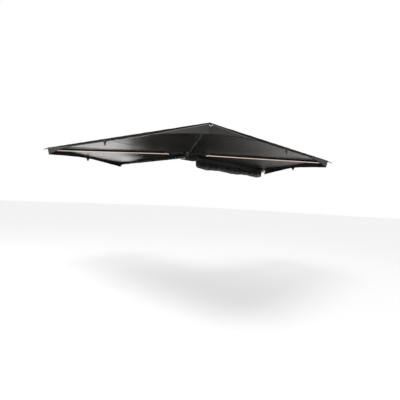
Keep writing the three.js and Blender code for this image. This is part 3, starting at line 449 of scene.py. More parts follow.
def closed_strip(name, rings, material):
    """A closed body through a row of rings of points, with flat ends; UVs run along it and round it."""
    rings = np.asarray(rings, float)
    stations, count = rings.shape[:2]
    wrapped = np.concatenate([rings, rings[:, :1]], axis=1)
    uv = measured_uv(wrapped)
    body = bmesh.new()
    layer = body.loops.layers.uv.new("UVMap")
    points = [[body.verts.new(p) for p in ring] for ring in rings]
    for i in range(stations - 1):
        for j in range(count):
            k = (j + 1) % count
            face = body.faces.new((points[i][j], points[i][k], points[i + 1][k], points[i + 1][j]))
            for loop, at in zip(face.loops, ((i, j), (i, j + 1), (i + 1, j + 1), (i + 1, j))):
                loop[layer].uv = uv[at]
    body.faces.new(points[0])
    body.faces.new(points[-1])
    bmesh.ops.recalc_face_normals(body, faces=body.faces)
    mesh = bpy.data.meshes.new(name)
    body.to_mesh(mesh)
    body.free()
    mesh.materials.append(material)
    mesh.shade_smooth()
    return link_object(name, mesh)


def joined(name, pieces):
    """Joins plain mesh objects into one piece."""
    with bpy.context.temp_override(active_object=pieces[0], selected_editable_objects=pieces):
        bpy.ops.object.join()
    pieces[0].name = name
    return pieces[0]


# Recipes in Geometry Nodes


def new_recipe(name, **inputs):
    """A geometry tree with more inputs of given kinds; returns it and its inputs."""
    tree = bpy.data.node_groups.new(name, "GeometryNodeTree")
    for label, kind in {"Geometry": "Geometry", **inputs}.items():
        tree.interface.new_socket(label.replace("_", " "), in_out="INPUT", socket_type="NodeSocket" + kind)
    tree.interface.new_socket("Geometry", in_out="OUTPUT", socket_type="NodeSocketGeometry")
    return tree, add_node(tree, "NodeGroupInput").node.outputs


def close_recipe(tree, points, shape, turn, material):
    """Puts a shape on every point, and hands on real geometry with its material."""
    placed = {"Points": points, "Instance": shape, "Rotation": turn}
    copies = add_node(tree, "GeometryNodeInstanceOnPoints", placed)
    real = add_node(tree, "GeometryNodeRealizeInstances", {0: copies})
    painted = add_node(tree, "GeometryNodeSetMaterial", {0: real, "Material": material})
    add_node(tree, "NodeGroupOutput", {0: painted})
    return tree


def stitch_recipe():
    """Short threads along every line of a mesh of edges."""
    sizes = {"Pitch": "Float", "Length": "Float", "Radius": "Float"}
    tree, given = new_recipe("row_of_stitches", **sizes, Thread="Material")
    line = add_node(tree, "GeometryNodeMeshToCurve", {"Mesh": given["Geometry"]})
    spacing = {"Curve": line, "Length": given["Pitch"]}
    spaced = add_node(tree, "GeometryNodeResampleCurve", spacing, mode="LENGTH")
    along = {"Vector": add_node(tree, "GeometryNodeInputTangent")}
    turn = add_node(tree, "FunctionNodeAlignRotationToVector", along, axis="Z")
    size = {"Vertices": 6, "Radius": given["Radius"], "Depth": given["Length"]}
    return close_recipe(tree, spaced, add_node(tree, "GeometryNodeMeshCylinder", size), turn, given["Thread"])


def bolt_recipe():
    """A head on a round washer at each point, facing along its `facing` vector."""
    sizes = {f"{part}_{size}": "Float" for part in ("Head", "Washer") for size in ("Radius", "Height")}
    tree, given = new_recipe("bolt_heads", **sizes, Sides="Int", Metal="Material")
    bolt = add_node(tree, "GeometryNodeJoinGeometry")
    below = 0.0
    for part, sides in (("Washer", 24), ("Head", given["Sides"])):
        height = given[part + " Height"]
        size = {"Vertices": sides, "Radius": given[part + " Radius"], "Depth": height}
        middle = add_node(tree, "ShaderNodeMath", {0: height, 1: 0.5, 2: below}, operation="MULTIPLY_ADD")
        shift = add_node(tree, "ShaderNodeCombineXYZ", {"Z": middle})
        shape = {"Geometry": add_node(tree, "GeometryNodeMeshCylinder", size), "Translation": shift}
        tree.links.new(add_node(tree, "GeometryNodeTransform", shape), bolt.node.inputs[0])
        below = height
    named = {"Name": "facing"}
    facing = add_node(tree, "GeometryNodeInputNamedAttribute", named, data_type="FLOAT_VECTOR")
    turn = add_node(tree, "FunctionNodeAlignRotationToVector", {"Vector": facing}, axis="Z")
    return close_recipe(tree, given["Geometry"], bolt, turn, given["Metal"])


def baked(name, mesh, tree, values):
    """Runs a recipe on a mesh of lines or points, and returns what it makes as a plain mesh object."""
    carrier = link_object(name + "_lines", mesh)
    modifier = carrier.modifiers.new("recipe", "NODES")
    modifier.node_group = tree
    for item in tree.interface.items_tree:
        if item.in_out == "INPUT" and item.name in values:
            modifier[item.identifier] = values[item.name]
    graph = bpy.context.evaluated_depsgraph_get()
    made = bpy.data.meshes.new_from_object(carrier.evaluated_get(graph), depsgraph=graph)
    made.name = name
    bpy.data.objects.remove(carrier)
    return link_object(name, made)


STITCHES = stitch_recipe()
BOLT_HEADS = bolt_recipe()


def sewn_lines(name, lines, pitch=0.008, length=0.0048, radius=0.0005, thread=THREAD):
    """Stitches along lists of points; drawn about twice as coarse as real ones, so that they show."""
    points, edges = [], []
    for line in lines:
        start = len(points)
        points.extend(tuple(p) for p in line)
        edges.extend((i, i + 1) for i in range(start, len(points) - 1))
    mesh = bpy.data.meshes.new(name)
    mesh.from_pydata(points, edges, [])
    values = {"Pitch": pitch, "Length": length, "Radius": radius, "Thread": thread}
    return baked(name, mesh, STITCHES, values)


def bolt_heads(name, places, head, washer, sides=6):
    """Zinc-plated heads at (point, facing) pairs; `head` and `washer` are (radius, height)."""
    mesh = bpy.data.meshes.new(name)
    mesh.from_pydata([tuple(point) for point, _ in places], [], [])
    facing = mesh.attributes.new("facing", "FLOAT_VECTOR", "POINT")
    facing.data.foreach_set("vector", np.array([f for _, f in places], np.float32).ravel())
    sizes = dict(zip(("Head Radius", "Head Height", "Washer Radius", "Washer Height"), (*head, *washer)))
    return baked(name, mesh, BOLT_HEADS, {**sizes, "Sides": sides, "Metal": ZINC})


# Places on the arms and the canopy


def ease(share):
    """A smooth step from 0 to 1."""
    share = np.clip(share, 0, 1)
    return share * share * (3 - 2 * share)


def fading(distance, run):
    """From 1 at no distance evenly down to 0 at the end of the run."""
    return np.clip(1 - distance / run, 0, 1)


def lane(arm):
    return LANES[arm] * LANE_PITCH


def turn_of(arm):
    return -math.radians(OPEN_ANGLE[arm])


def beside(arm, distance, side, z):
    """Points beside an arm, `side` to its left, as an array of frame coordinates."""
    distance, side, z = np.broadcast_arrays(*(np.asarray(v, float) for v in (distance, side, z)))
    c, s = math.cos(turn_of(arm)), math.sin(turn_of(arm))
    y = lane(arm) + side
    return np.stack([distance * c - y * s, distance * s + y * c, z], -1)


def tip_distance(arm):
    return math.sqrt(REACH**2 - lane(arm) ** 2)


def cloth_height(arm, distance):
    share = ease((np.asarray(distance) - PANEL_START) / HUB_RUN)
    return HUB_CLOTH + (TUBE_BASE[arm] + CLOTH_RISE - HUB_CLOTH) * share


def panel_sides(panel):
    start = AB_START if panel[0] == "a" else -SEAM_GAP
    end = -TUBE_WIDTH / 2 if panel[1] == "e" else SEAM_GAP
    return start, end


def panel_span(panel):
    return math.radians(OPEN_ANGLE[panel[1]] - OPEN_ANGLE[panel[0]])


def level_point(panel, across, out):
    """The panel's surface before its folds: `across` runs from arm to arm, `out` from the hub to the edge."""
    across, out = np.broadcast_arrays(np.asarray(across, float), np.asarray(out, float))
    ends = []
    for arm, side in zip(panel, panel_sides(panel)):
        distance = PANEL_START + (tip_distance(arm) - PANEL_START) * out
        ends.append(beside(arm, distance, side, cloth_height(arm, distance)))
    first, last = ends
    sag = SAG_SHARE * np.linalg.norm(last - first, axis=-1) * np.sin(math.pi * np.clip(out, 0, 1))
    point = first + (last - first) * across[..., None]
    point[..., 2] -= 4 * sag * across * (1 - across) + CLOTH_THICKNESS / 2
    return point


def chord(panel, out):
    """Width of a panel from arm to arm."""
    ends = level_point(panel, 1.0, out) - level_point(panel, 0.0, out)
    return np.linalg.norm(ends, axis=-1)


def outward(panel):
    """The unit vector out of a panel's outer edge."""
    first, last = level_point(panel, np.array([0.0, 1.0]), 1.0)
    along = (last - first) / np.linalg.norm(last - first)
    outwards = np.array([-along[1], along[0], 0.0])
    return outwards if outwards @ first > 0 else -outwards


EDGE = {panel: (float(chord(panel, 1.0)), outward(panel)) for panel in PANELS}


def fold_relief(panel, across, out):
    """Height of the tension folds that run out of the corners, the ripples along the hem and the slack."""
    point = level_point(panel, across, out)
    relief = np.zeros(point.shape[:-1])
    for end, seed in ((0.0, 0.7), (1.0, 2.1)):
        offset = point - level_point(panel, end, 1.0)
        reach = np.hypot(offset[..., 0], offset[..., 1])
        bearing = np.arctan2(offset[..., 1], offset[..., 0])
        fan = np.sin(26 * bearing + seed) + 0.6 * np.sin(43 * bearing + 2 * seed)
        relief += TENSION_FOLD * fan * np.clip(reach / 0.15, 0, 1) * np.exp(-reach / 0.55)
    position = np.asarray(across) * EDGE[panel][0]
    beyond = np.clip(1 - np.asarray(out), 0, 1) * 2.0
    ripple = np.sin(2 * math.pi * position / 0.29 + 1.3) + 0.6 * np.sin(2 * math.pi * position / 0.173)
    relief += HEM_RIPPLE * ripple * np.exp(-beyond / 0.12)
    phase = sum(map(ord, panel))
    slack = np.sin(point[..., 0] * 6.1 + phase) * np.sin(point[..., 1] * 7.3 + 2 * phase)
    relief += SLACK * slack * np.clip(beyond / 0.25, 0, 1)
    edge = np.clip(4 * np.asarray(across) * (1 - np.asarray(across)) / 0.12, 0, 1)
    hub = np.clip(np.asarray(out) / 0.10, 0, 1)
    return relief * edge * hub


def panel_point(panel, across, out):
    point = level_point(panel, across, out)
    point[..., 2] += fold_relief(panel, across, out)
    return point


def valance_drop(panel, across):
    """Depth of the valance below the edge, and the distance to the nearer corner."""
    corner = np.minimum(across, 1 - across) * EDGE[panel][0]
    deep = fading(corner, DROP_RUN) ** DROP_POWER
    depth = np.where(np.asarray(across) < 0.5, CORNER_DROP[panel[0]], CORNER_DROP[panel[1]])
    return HEM_DROP + (depth - HEM_DROP) * deep, corner


def hem_travel(panel, across):
    """Length of cloth from the start of the rounded edge to the lower edge of the valance."""
    return EDGE_ARC + valance_drop(panel, across)[0] - EDGE_RADIUS


def edge_out(panel, inboard):
    """The `out` of a line that lies `inboard` of a panel's edge."""
    return 1 - inboard / ((REACH - PANEL_START) * math.cos(panel_span(panel) / 2))


def outside_point(panel, across, travel, proud=0.0):
    """A point on the cloth round the edge: `travel` past the start of the rounding, negative on the top."""
    across, travel, proud = np.broadcast_arrays(*(np.asarray(v, float) for v in (across, travel, proud)))
    outwards = EDGE[panel][1]
    angle = np.clip(travel / EDGE_RADIUS, 0, math.pi / 2)
    inboard = np.where(travel < 0, EDGE_RADIUS - travel, EDGE_RADIUS * (1 - np.sin(angle)))
    point = panel_point(panel, across, edge_out(panel, inboard))
    down = np.clip(travel - EDGE_ARC, 0, None)
    drop, corner = valance_drop(panel, across)
    share = np.clip(down / (drop - EDGE_RADIUS), 0, 1.03)
    inset = CORNER_INSET * fading(corner, INSET_RUN) * share
    to_hub = -point[..., :2] / np.linalg.norm(point[..., :2], axis=-1, keepdims=True)
    wave = HEM_WAVE * np.sin(2 * math.pi * across * EDGE[panel][0] / 0.37 + 0.8) * share
    wave *= np.clip(corner / 0.20, 0, 1)
    point[..., :2] += to_hub * inset[..., None]
    point += outwards * (proud * np.sin(angle) + wave)[..., None]
    point[..., 2] += proud * np.cos(angle) - EDGE_RADIUS * (1 - np.cos(angle)) - down
    return point


HALVES = [(panel, half) for panel in PANELS for half in (0, 1)]


def half_range(half, steps):
    return np.linspace(0.5 * half, 0.5 * half + 0.5, steps + 1)


def fold_with(piece, panel, half):
    """Rides a piece on its arm, and gives it a mesh of its own.
    """
    arm = panel[half]
    finish_piece(piece, BODY[arm])
    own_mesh(piece)
    return piece


# Canopy halves, each from its arm to the seam along the panel's middle


def canopy_half(panel, half):
    across = half_range(half, ACROSS_STEPS)
    outs = np.linspace(0, 1, OUT_STEPS + 1) ** 0.85
    outs = outs[outs < edge_out(panel, EDGE_RADIUS * 1.8)]
    rows = [panel_point(panel, across, np.full_like(across, out)) for out in outs]
    radius = list(PANEL_START + outs * (REACH - PANEL_START))
    rounding = np.linspace(0, EDGE_ARC, ROUND_STEPS + 1)
    rows.extend(outside_point(panel, across, travel) for travel in rounding)
    radius.extend(REACH - EDGE_RADIUS + rounding)
    end = hem_travel(panel, across)
    for step in range(1, DROP_STEPS + 1):
        share = step / DROP_STEPS
        rows.append(outside_point(panel, across, EDGE_ARC + (end - EDGE_ARC) * share))
        radius.append(REACH + 0.09 * share)
    angle = (across - 0.5)[None, :] * panel_span(panel)
    radius = np.array(radius)[:, None]
    uv = np.stack([radius * np.sin(angle), radius * np.cos(angle)], -1)
    on_top = len(outs) + ROUND_STEPS
    row_slots = np.where(np.arange(len(rows) - 1) < on_top, 0, 2)
    slots = np.repeat(row_slots, ACROSS_STEPS)
    materials = [CANOPY_OUTSIDE, CANOPY_INSIDE, CANOPY_OUTSIDE, HEM_LINING]
    name = f"canopy_{panel}_half_{panel[half]}"
    piece = joined_sheets(name, [(np.array(rows), slots, uv)], materials, CLOTH_THICKNESS, 1)
    fold_with(piece, panel, half)
    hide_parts(f"canopy_{panel}")
    return piece


def band_end(panel, across):
    """Lower edge of the black band: the whole hem in the middle, a narrow line at the corners."""
    hem = EDGE_ARC + HEM_DROP - EDGE_RADIUS
    return hem + (BAND_AT_CORNER - hem) * fading(valance_drop(panel, across)[1], DROP_RUN)


def across_from_arm(panel, half, distance, out):
    """The `across` of a point at a distance from the half's arm."""
    share = distance / chord(panel, out)
    return 1 - share if half else share


def across_from_middle(panel, half, distance, out):
    share = distance / chord(panel, out)
    return 0.5 + share if half else 0.5 - share


def edge_trim(panel, half):
    """Black band and binding of the hem, the middle seam's tapes and the corner's patch, sewn on a half."""
    across = half_range(half, ACROSS_STEPS)
    shares = np.linspace(0, 1, 12)[:, None]
    start = -0.009
    band = outside_point(panel, across, start + (band_end(panel, across) - start) * shares, TRIM_RISE)
    end = hem_travel(panel, across)
    outer = [(-BINDING, 0.9), (-0.001, 1.1), (0.0008, 0.7)]
    turns = outer + [(0.0013, 0.0)] + [(d, -side) for d, side in reversed(outer)]
    binding = np.array([outside_point(panel, across, end + d, side * TRIM_RISE * 1.4) for d, side in turns])
    # A light grey cord under the band: painted highlight along its lower edge
    highlight_line_at = band_end(panel, across) + HIGHLIGHT_LINE_WIDTH * 0.5
    cord = [(-0.5, 0.2), (-0.35, 1.4), (0.0, 1.9), (0.35, 1.4), (0.5, 0.2)]
    highlight_line = np.array([outside_point(panel, across, highlight_line_at + HIGHLIGHT_LINE_WIDTH * d, TRIM_RISE * r) for d, r in cord])
    sheets = [(band, 0), (binding, 0), (highlight_line, 3)]
    outs = np.linspace(0.02, edge_out(panel, 0.010), 60)[:, None]
    if half == 0:
        columns = np.array([0.0, 0.5, 1.0]) * SEAM_TAPE
        for rise in (TRIM_RISE, -TRIM_RISE):
            tape = panel_point(panel, across_from_middle(panel, half, columns, outs), outs)
            tape[..., 2] += rise
            sheets.append((tape, 0 if rise > 0 else 2))
    if panel[half] != "a":
        reach = np.linspace(-PATCH_LENGTH, EDGE_ARC, 26)[:, None]
        width = PATCH_WIDTH * np.clip(1 + reach / PATCH_LENGTH, 0.02, 1)
        side = width * np.linspace(0, 1, 10)
        patch_across = across_from_arm(panel, half, side, edge_out(panel, np.clip(-reach, 0, None)))
        sheets.append((outside_point(panel, patch_across, reach, TRIM_RISE * 0.8), 1))
    name = f"hem_{panel}_half_{panel[half]}"
    piece = joined_sheets(name, sheets, [TAPE, CANOPY_OUTSIDE, CANOPY_INSIDE, PAINTED_HIGHLIGHT_CORD], TRIM_THICKNESS)
    return fold_with(piece, panel, half)


def half_stitches(panel, half):
    """Stitches of the hem, the band, the middle seam and the corner's patch."""
    across = half_range(half, 160)
    rise = TRIM_RISE + 0.0006
    lines = [
        outside_point(panel, across, hem_travel(panel, across) - BINDING * 0.6, rise),
        outside_point(panel, across, band_end(panel, across) - 0.003, rise),
        outside_point(panel, across, 0.004, rise),
    ]
    outs = np.linspace(0.03, edge_out(panel, 0.012), 120)
    if half == 0:
        for distance in (0.003, 0.011):
            line = panel_point(panel, across_from_middle(panel, half, distance, outs), outs)
            line[:, 2] += rise
            lines.append(line)
    if panel[half] != "a":
        reach = np.linspace(-PATCH_LENGTH + 0.012, 0, 40)
        side = PATCH_WIDTH * (1 + reach / PATCH_LENGTH) - 0.004
        place = across_from_arm(panel, half, side, edge_out(panel, -reach))
        lines.append(outside_point(panel, place, reach, rise))
    piece = sewn_lines(f"stitches_{panel}_half_{panel[half]}", lines)
    return fold_with(piece, panel, half)


def neighbour(arm, side):
    """The panel on one side of an arm and which of its halves lies there; side is positive to the left."""
    order = ARMS.index(arm)
    return (ARMS[order - 1] + arm, 1) if side > 0 else (arm + ARMS[order + 1], 0)


def seam_line(arm, side, rise, outs, travels):
    """A line on the cloth along an arm, `side` from its middle, that goes on down the corner."""
    panel, half = neighbour(arm, side)
    top = panel_point(panel, across_from_arm(panel, half, abs(side), outs), outs)
    top[:, 2] += rise
    across = across_from_arm(panel, half, abs(side), 1.0)
    return np.concatenate([top, outside_point(panel, across, travels, rise)])


def arm_tape(arm):
    """Tape over the seam between two panels, from the hub to the foot of the corner, with its stitches."""
    panel = neighbour(arm, 1)[0]
    outs = np.linspace(0.0, edge_out(panel, 0.030), 90)
    foot = EDGE_ARC + CORNER_DROP[arm] - EDGE_RADIUS - BINDING
    travels = np.concatenate([np.linspace(-0.004, EDGE_ARC, 6), np.linspace(EDGE_ARC, foot, 10)[1:]])
    rows = len(outs) + 6
    half = ARM_TAPE[arm] / 2
    sides = [-half, -half * 0.6, -half * 0.25, -0.0012, 0.0012, half * 0.25, half * 0.6, half]
    rise = 2 * TRIM_RISE
    grid = np.stack([seam_line(arm, side, rise, outs, travels) for side in sides], axis=1)
    slots = np.repeat(np.where(np.arange(len(grid) - 1) < rows, 0, 1), len(sides) - 1)
    tape = joined_sheets(f"arm_tape_{arm}", [(grid, slots)], [TAPE, CANOPY_OUTSIDE], TRIM_THICKNESS)
    lines = [seam_line(arm, side, rise + 0.0005, outs, travels) for side in (-half + 0.003, half - 0.003)]
    stitches = sewn_lines(f"arm_tape_stitches_{arm}", lines)
    for piece in (tape, stitches):
        finish_piece(piece, BODY[arm])
    return [tape, stitches]


for panel, half in HALVES:
    piece = canopy_half(panel, half)
    trim = [edge_trim(panel, half), half_stitches(panel, half)]

for arm in "bcd":
    tape, stitches = arm_tape(arm)


# Free sides of the canopy, and the crown over the hub


def side_flap_e():
    """Flap that hangs from the canopy's free side along arm E, and returns round the corner's valance."""
    tip = tip_distance("e") + CLOTH_THICKNESS
    distance = np.linspace(PANEL_START, tip, 150)
    top = cloth_height("e", distance) + 0.0002
    corner = fading(tip - distance, FLAP_RETURN)
    bottom = TUBE_BASE["e"] + TUBE_HEIGHT - FLAP_FOOT + 0.0012 * np.sin(distance * 31)
    bottom = bottom - (CORNER_DROP["e"] - 0.014) * corner**1.2
    shares = np.linspace(0, 1, 9)[:, None]
    distance = distance - CORNER_INSET * corner * shares
    billow = 0.0016 * np.sin(distance * 23 + 0.4) * shares
    side = -TUBE_WIDTH / 2 - 0.0016 - 0.0008 * shares - np.abs(billow)
    grid = beside("e", distance, side, top + (bottom - top) * shares)
    inboard = np.array([[0.012], [0.006], [0.0]]) - TUBE_WIDTH / 2
    lap = beside("e", distance[0], inboard, top + TRIM_RISE)
    piece = joined_sheets("side_flap_e", [(np.concatenate([lap, grid]), 0)], [TAPE], CLOTH_THICKNESS)
    finish_piece(piece, "arm_e")


def side_apron_a():
    """Apron from the canopy's fixed side over the top of the rail near the hub, and up its face beyond."""
    distance = np.linspace(APRON_REACH[0], tip_distance("a") - APRON_REACH[1], 170)
    cloth = cloth_height("a", np.maximum(distance, PANEL_START)) + TRIM_RISE
    near, far = APRON_OVER_RAIL
    over = ease((far - distance) / (far - near))
    share = np.linspace(0, 1, 12)[:, None]
    end = RAIL_FRONT - CLOTH_THICKNESS + 0.0202 * over
    low = cloth + 0.011 * share**3
    high = cloth + (RAIL_TOP + 0.0016 - cloth) * share**1.6
    side = APRON_SIDE + (end - APRON_SIDE) * share**0.7
    grid = np.stack(np.broadcast_arrays(distance, side, low + (high - low) * over), -1)
    piece = joined_sheets("side_apron_a", [(grid, 0)], [TAPE], CLOTH_THICKNESS)
    finish_piece(piece, "base")


def crown():
    """Cap over the hub: sewn gores, a gathered rim and a skirt that closes the side without a panel."""
    angles = np.linspace(0, 2 * math.pi, CROWN_STEPS + 1)

    def around(radius, height):
        return np.stack([radius * np.cos(angles), radius * np.sin(angles), height], -1)

    gathers = CROWN_GATHERS * angles
    rows, skirt_rows = [], []
    seam = np.abs(np.cos(CROWN_GORES / 2 * angles))
    for radius in np.linspace(0.004, 1, 26):
        rim = radius**7
        lift = (1 - radius**1.9) * CROWN_RISE - 0.0016 * seam**14 * radius * (1 - rim)
        lift = lift + 0.0009 * np.sin(gathers) * rim + 0.0008 * np.sin(3 * angles + 1) * radius**2
        scallop = 1 + 0.004 * np.sin(gathers + 1.3) * rim
        rows.append(around(CROWN_RADIUS * radius * scallop, CROWN_RIM + CLOTH_THICKNESS + lift))
    bearing = np.degrees(angles)
    first, last = CROWN_OPEN_SIDE
    window = np.clip(np.minimum(bearing - first, last - bearing) / 5, 0, 1)
    drop = 0.004 + (CROWN_SKIRT - 0.004) * window
    rim_z = rows[-1][:, 2]
    for share in np.linspace(0.15, 1, 8):
        flare = 1 + 0.012 * share + 0.006 * np.sin(19 * angles) * share * window
        skirt_rows.append(around(CROWN_RADIUS * flare, rim_z - drop * share))
    cap = joined_sheets("crown_cap", [(np.array(rows + skirt_rows), 0)], [CANOPY_OUTSIDE], CLOTH_THICKNESS)
    finish_piece(cap, "base", ["canopy_crown"])
    lines = [np.array(skirt_rows[-2]) + [0, 0, 0.001], np.array(rows[-3]) + [0, 0, 0.0012]]
    for at in range(2, CROWN_STEPS, CROWN_STEPS // CROWN_GORES):
        lines.append(np.array([row[at] for row in rows[2:-2]]) + [0, 0, 0.0010])
    stitches = sewn_lines("crown_stitches", lines)
    finish_piece(stitches, "base")


side_flap_e()
side_apron_a()
crown()


# Corner loops, tip pockets and keepers on the arms


def along_arm(arm, points):
    """Turns points from an arm's own frame, whose middle line is y 0, to the awning's frame."""
    points = np.asarray(points, float)
    return beside(arm, points[..., 0], points[..., 1], points[..., 2])


def ribbon_rings(path, width_vector, thickness):
    """Rectangular rings of webbing along a path of points, with slightly rounded edges."""
    path = np.asarray(path, float)
    tangent = np.gradient(path, axis=0)
    tangent /= np.linalg.norm(tangent, axis=1, keepdims=True)
    across = np.broadcast_to(np.asarray(width_vector, float), path.shape)
    normal = np.cross(tangent, across)
    normal /= np.linalg.norm(normal, axis=1, keepdims=True)
    corners = [(-0.5, -0.3), (-0.46, -0.5), (0, -0.54), (0.46, -0.5), (0.5, -0.3),
               (0.5, 0.3), (0.46, 0.5), (0, 0.54), (-0.46, 0.5), (-0.5, 0.3)]
    return np.stack([path + across * u + normal * thickness * v for u, v in corners], axis=1)


def corner_loop(arm):
    """Webbing loop: two layers sewn on edge at the corner, a quarter twist and a bight for the ring."""
    slope = CORNER_INSET / CORNER_DROP["c"]
    seat = LOOP_INNER_END + 0.0003
    side = (LOOP_WIDTH - TUBE_WIDTH) / 2 if arm == "e" else 0.0
    place = np.array([
        tip_distance(arm) - slope * LOOP_BELOW_TOP + seat * math.hypot(1, slope),
        side,
        TUBE_BASE[arm] + CLOTH_RISE - LOOP_BELOW_TOP,
    ])
    spread = WEBBING_THICKNESS * 0.56
    inner = np.linspace(-LOOP_INNER_END, LOOP_BIGHT, 22)
    opening = ease((inner - LOOP_SPREAD_START) / (LOOP_BIGHT - LOOP_SPREAD_START))
    gap = spread + (LOOP_RADIUS - spread) * opening
    twist = math.pi / 2 * ease((inner - LOOP_TWIST[0]) / LOOP_TWIST[1])
    bend = np.linspace(math.pi / 2, -math.pi / 2, 13)[1:-1]
    flat = math.pi / 2
    stations = list(zip(inner, gap, twist))
    stations += [(LOOP_BIGHT + LOOP_RADIUS * math.cos(t), LOOP_RADIUS * math.sin(t), flat) for t in bend]
    stations += list(zip(inner[::-1], -gap[::-1], twist[::-1]))
    path = [(x, -math.cos(t) * z, math.sin(t) * z) for x, z, t in stations]
    widths = [(0, math.sin(t) * LOOP_WIDTH, math.cos(t) * LOOP_WIDTH) for _, _, t in stations]
    rings = ribbon_rings(path, widths, WEBBING_THICKNESS)
    tilt = np.array(Matrix.Rotation(LOOP_TILT, 3, "Y"))
    loop = closed_strip(f"loop_{arm}", along_arm(arm, rings @ tilt.T + place), WEBBING)
    finish_piece(loop, BODY[arm], [f"corner_loop_{arm}"])
    lines = []
    for y in (spread + WEBBING_THICKNESS * 0.62, -spread - WEBBING_THICKNESS * 0.62):
        z = LOOP_WIDTH * 0.36
        square = [(0.002, y, -z), (0.011, y, -z), (0.011, y, z), (0.002, y, z), (0.002, y, -z), (0.011, y, z)]
        lines.append(along_arm(arm, np.array(square) @ tilt.T + place))
    stitches = sewn_lines(f"loop_stitches_{arm}", lines, 0.0042, 0.0028, 0.0004)
    finish_piece(stitches, BODY[arm])


def tip_pocket(arm):
    """Pocket of the canopy's corner that takes the tip of the tube."""
    half_width, half_height = TUBE_WIDTH / 2 + SLEEVE_GAP, TUBE_HEIGHT / 2 + SLEEVE_GAP
    middle = TUBE_BASE[arm] + TUBE_HEIGHT / 2
    lift = CLOTH_RISE - TUBE_HEIGHT / 2 - 0.0030
    rings = []
    for x, size, raised in [(-0.100, 1, 0), (-0.060, 1, 0), (-0.036, 1, 0), (-0.030, 0.9, 0.1),
                            (-0.022, 0.62, 0.36), (-0.017, 0.45, 0.50)]:
        ring = []
        for i in range(40):
            angle = 2 * math.pi * (i + 0.5) / 40
            round_place = np.array([math.cos(angle), math.sin(angle)])
            y, z = np.sign(round_place) * np.abs(round_place) ** 0.28
            height = middle + raised * (lift - half_height * 0.45) + z * half_height * size
            ring.append((tip_distance(arm) + x, y * half_width * (0.35 + 0.65 * size), height))
        rings.append(ring)
    piece = closed_strip(f"tip_pocket_{arm}", along_arm(arm, rings), TAPE)
    finish_piece(piece, BODY[arm])


def keeper(arm, distance):
    """Strap of hook-and-loop tape that holds the cloth to a tube."""
    half, low, high = TUBE_WIDTH / 2 + SLEEVE_GAP, -SLEEVE_GAP, CLOTH_RISE - 0.0035
    path = [(-half, high), (-half, low + 0.004), (-half + 0.0012, low + 0.0012), (-half + 0.004, low),
            (half - 0.004, low), (half - 0.0012, low + 0.0012), (half, low + 0.004), (half, high)]
    points = [(distance, y, TUBE_BASE[arm] + z) for y, z in path]
    rings = ribbon_rings(points, (KEEPER_WIDTH, 0, 0), KEEPER_THICKNESS)
    return closed_strip(f"keeper_{arm}", along_arm(arm, rings), TAPE)


for arm in "bcde":
    corner_loop(arm)
    tip_pocket(arm)
for arm in "ce":
    straps = joined(f"keepers_{arm}", [keeper(arm, distance) for distance in KEEPER_PLACES])
    finish_piece(straps, BODY[arm])


# Pull tabs at the middle of the hems

TAB_SLANT = {"bc": math.radians(32)}  # the others hang straight


def pull_tab(panel):
    """Tab with a flared root sewn on the hem, a strap and a moulded crossbar."""
    middle = outside_point(panel, 0.5, EDGE_ARC, 2 * TRIM_RISE)
    outwards = EDGE[panel][1]
    along = np.array([-outwards[1], outwards[0], 0.0])
    slant = TAB_SLANT.get(panel, 0.0)
    rows = []
    hem = HEM_DROP - EDGE_RADIUS
    for down in np.linspace(TAB_ROOT, TAB_LENGTH - EDGE_RADIUS, 16):
        flare = np.clip((down - TAB_ROOT) / (hem + TAB_FLARE_PAST_HEM), 0, 1)
        width = TAB_FLARE + (TAB_WIDTH - TAB_FLARE) * flare
        shift = math.tan(slant) * max(0.0, down - hem)
        columns = np.linspace(-0.5, 0.5, 9) * width
        rows.append(middle + along * (columns + shift)[:, None] + [0, 0, -down] + outwards * 0.001)
    strap = joined_sheets(f"tab_{panel}", [(np.array(rows), 0)], [WEBBING], 0.0018)
    foot = rows[-1].mean(axis=0)
    across = along * math.cos(slant) + np.array([0, 0, math.sin(slant)])
    up = np.cross(across, outwards)
    rings = []
    grip = [(0.45, 0.82), (0.88, 1.0), (0.97, 0.8), (1, 0.35)]
    for x, size in [(-x, size) for x, size in reversed(grip)] + [(0, 0.78)] + grip:
        centre = foot + across * x * TOGGLE_LENGTH / 2
        turns = np.linspace(0, 2 * math.pi, 17)[:-1]
        ring = [centre + (outwards * math.cos(t) + up * math.sin(t)) * TOGGLE_RADIUS * size for t in turns]
        rings.append(ring)
    bar = closed_strip(f"tab_bar_{panel}", rings, BLACK_PLASTIC)
    root = [middle + along * u + [0, 0, -v] + outwards * 0.0024
            for u, v in ((-0.040, 0.007), (-0.010, 0.031), (0.010, 0.031), (0.040, 0.007), (-0.040, 0.007))]
    stitches = sewn_lines(f"tab_stitches_{panel}", [root], 0.006, 0.0038)
    for piece, slot in ((strap, "webbing"), (bar, "black_plastic"), (stitches, "webbing")):
        fold_with(piece, panel, 0)
    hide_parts(f"pull_tab_{panel}")


for panel in PANELS:
    pull_tab(panel)


# Travel cover: one long sheet that hangs from the bead as a slack trough, open along its zip


def smooth_through(points, steps):
    """A Catmull-Rom curve through an open row of points."""
    points = np.asarray(points, float)
    padded = np.concatenate([[2 * points[0] - points[1]], points, [2 * points[-1] - points[-2]]])
    curve = []
    for i in range(len(points) - 1):
        a, b, c, d = padded[i : i + 4]
        for t in np.arange(steps) / steps:
            curve.append(0.5 * (2 * b + (c - a) * t + (2 * a - 5 * b + 4 * c - d) * t**2
                                + (3 * b - a - 3 * c + d) * t**3))
    curve.append(points[-1])
    return np.array(curve)


# Across towards the arms and up, as shares of the pouch's bulge and depth
COVER_SHARES = [(0, 0.02), (0, -0.28), (0, -0.62), (-0.1, -0.9), (-0.36, -1), (-0.72, -0.97), (-1, -0.78),
                (-0.88, -0.5), (-0.50, -0.22), (-0.30, -0.10)]


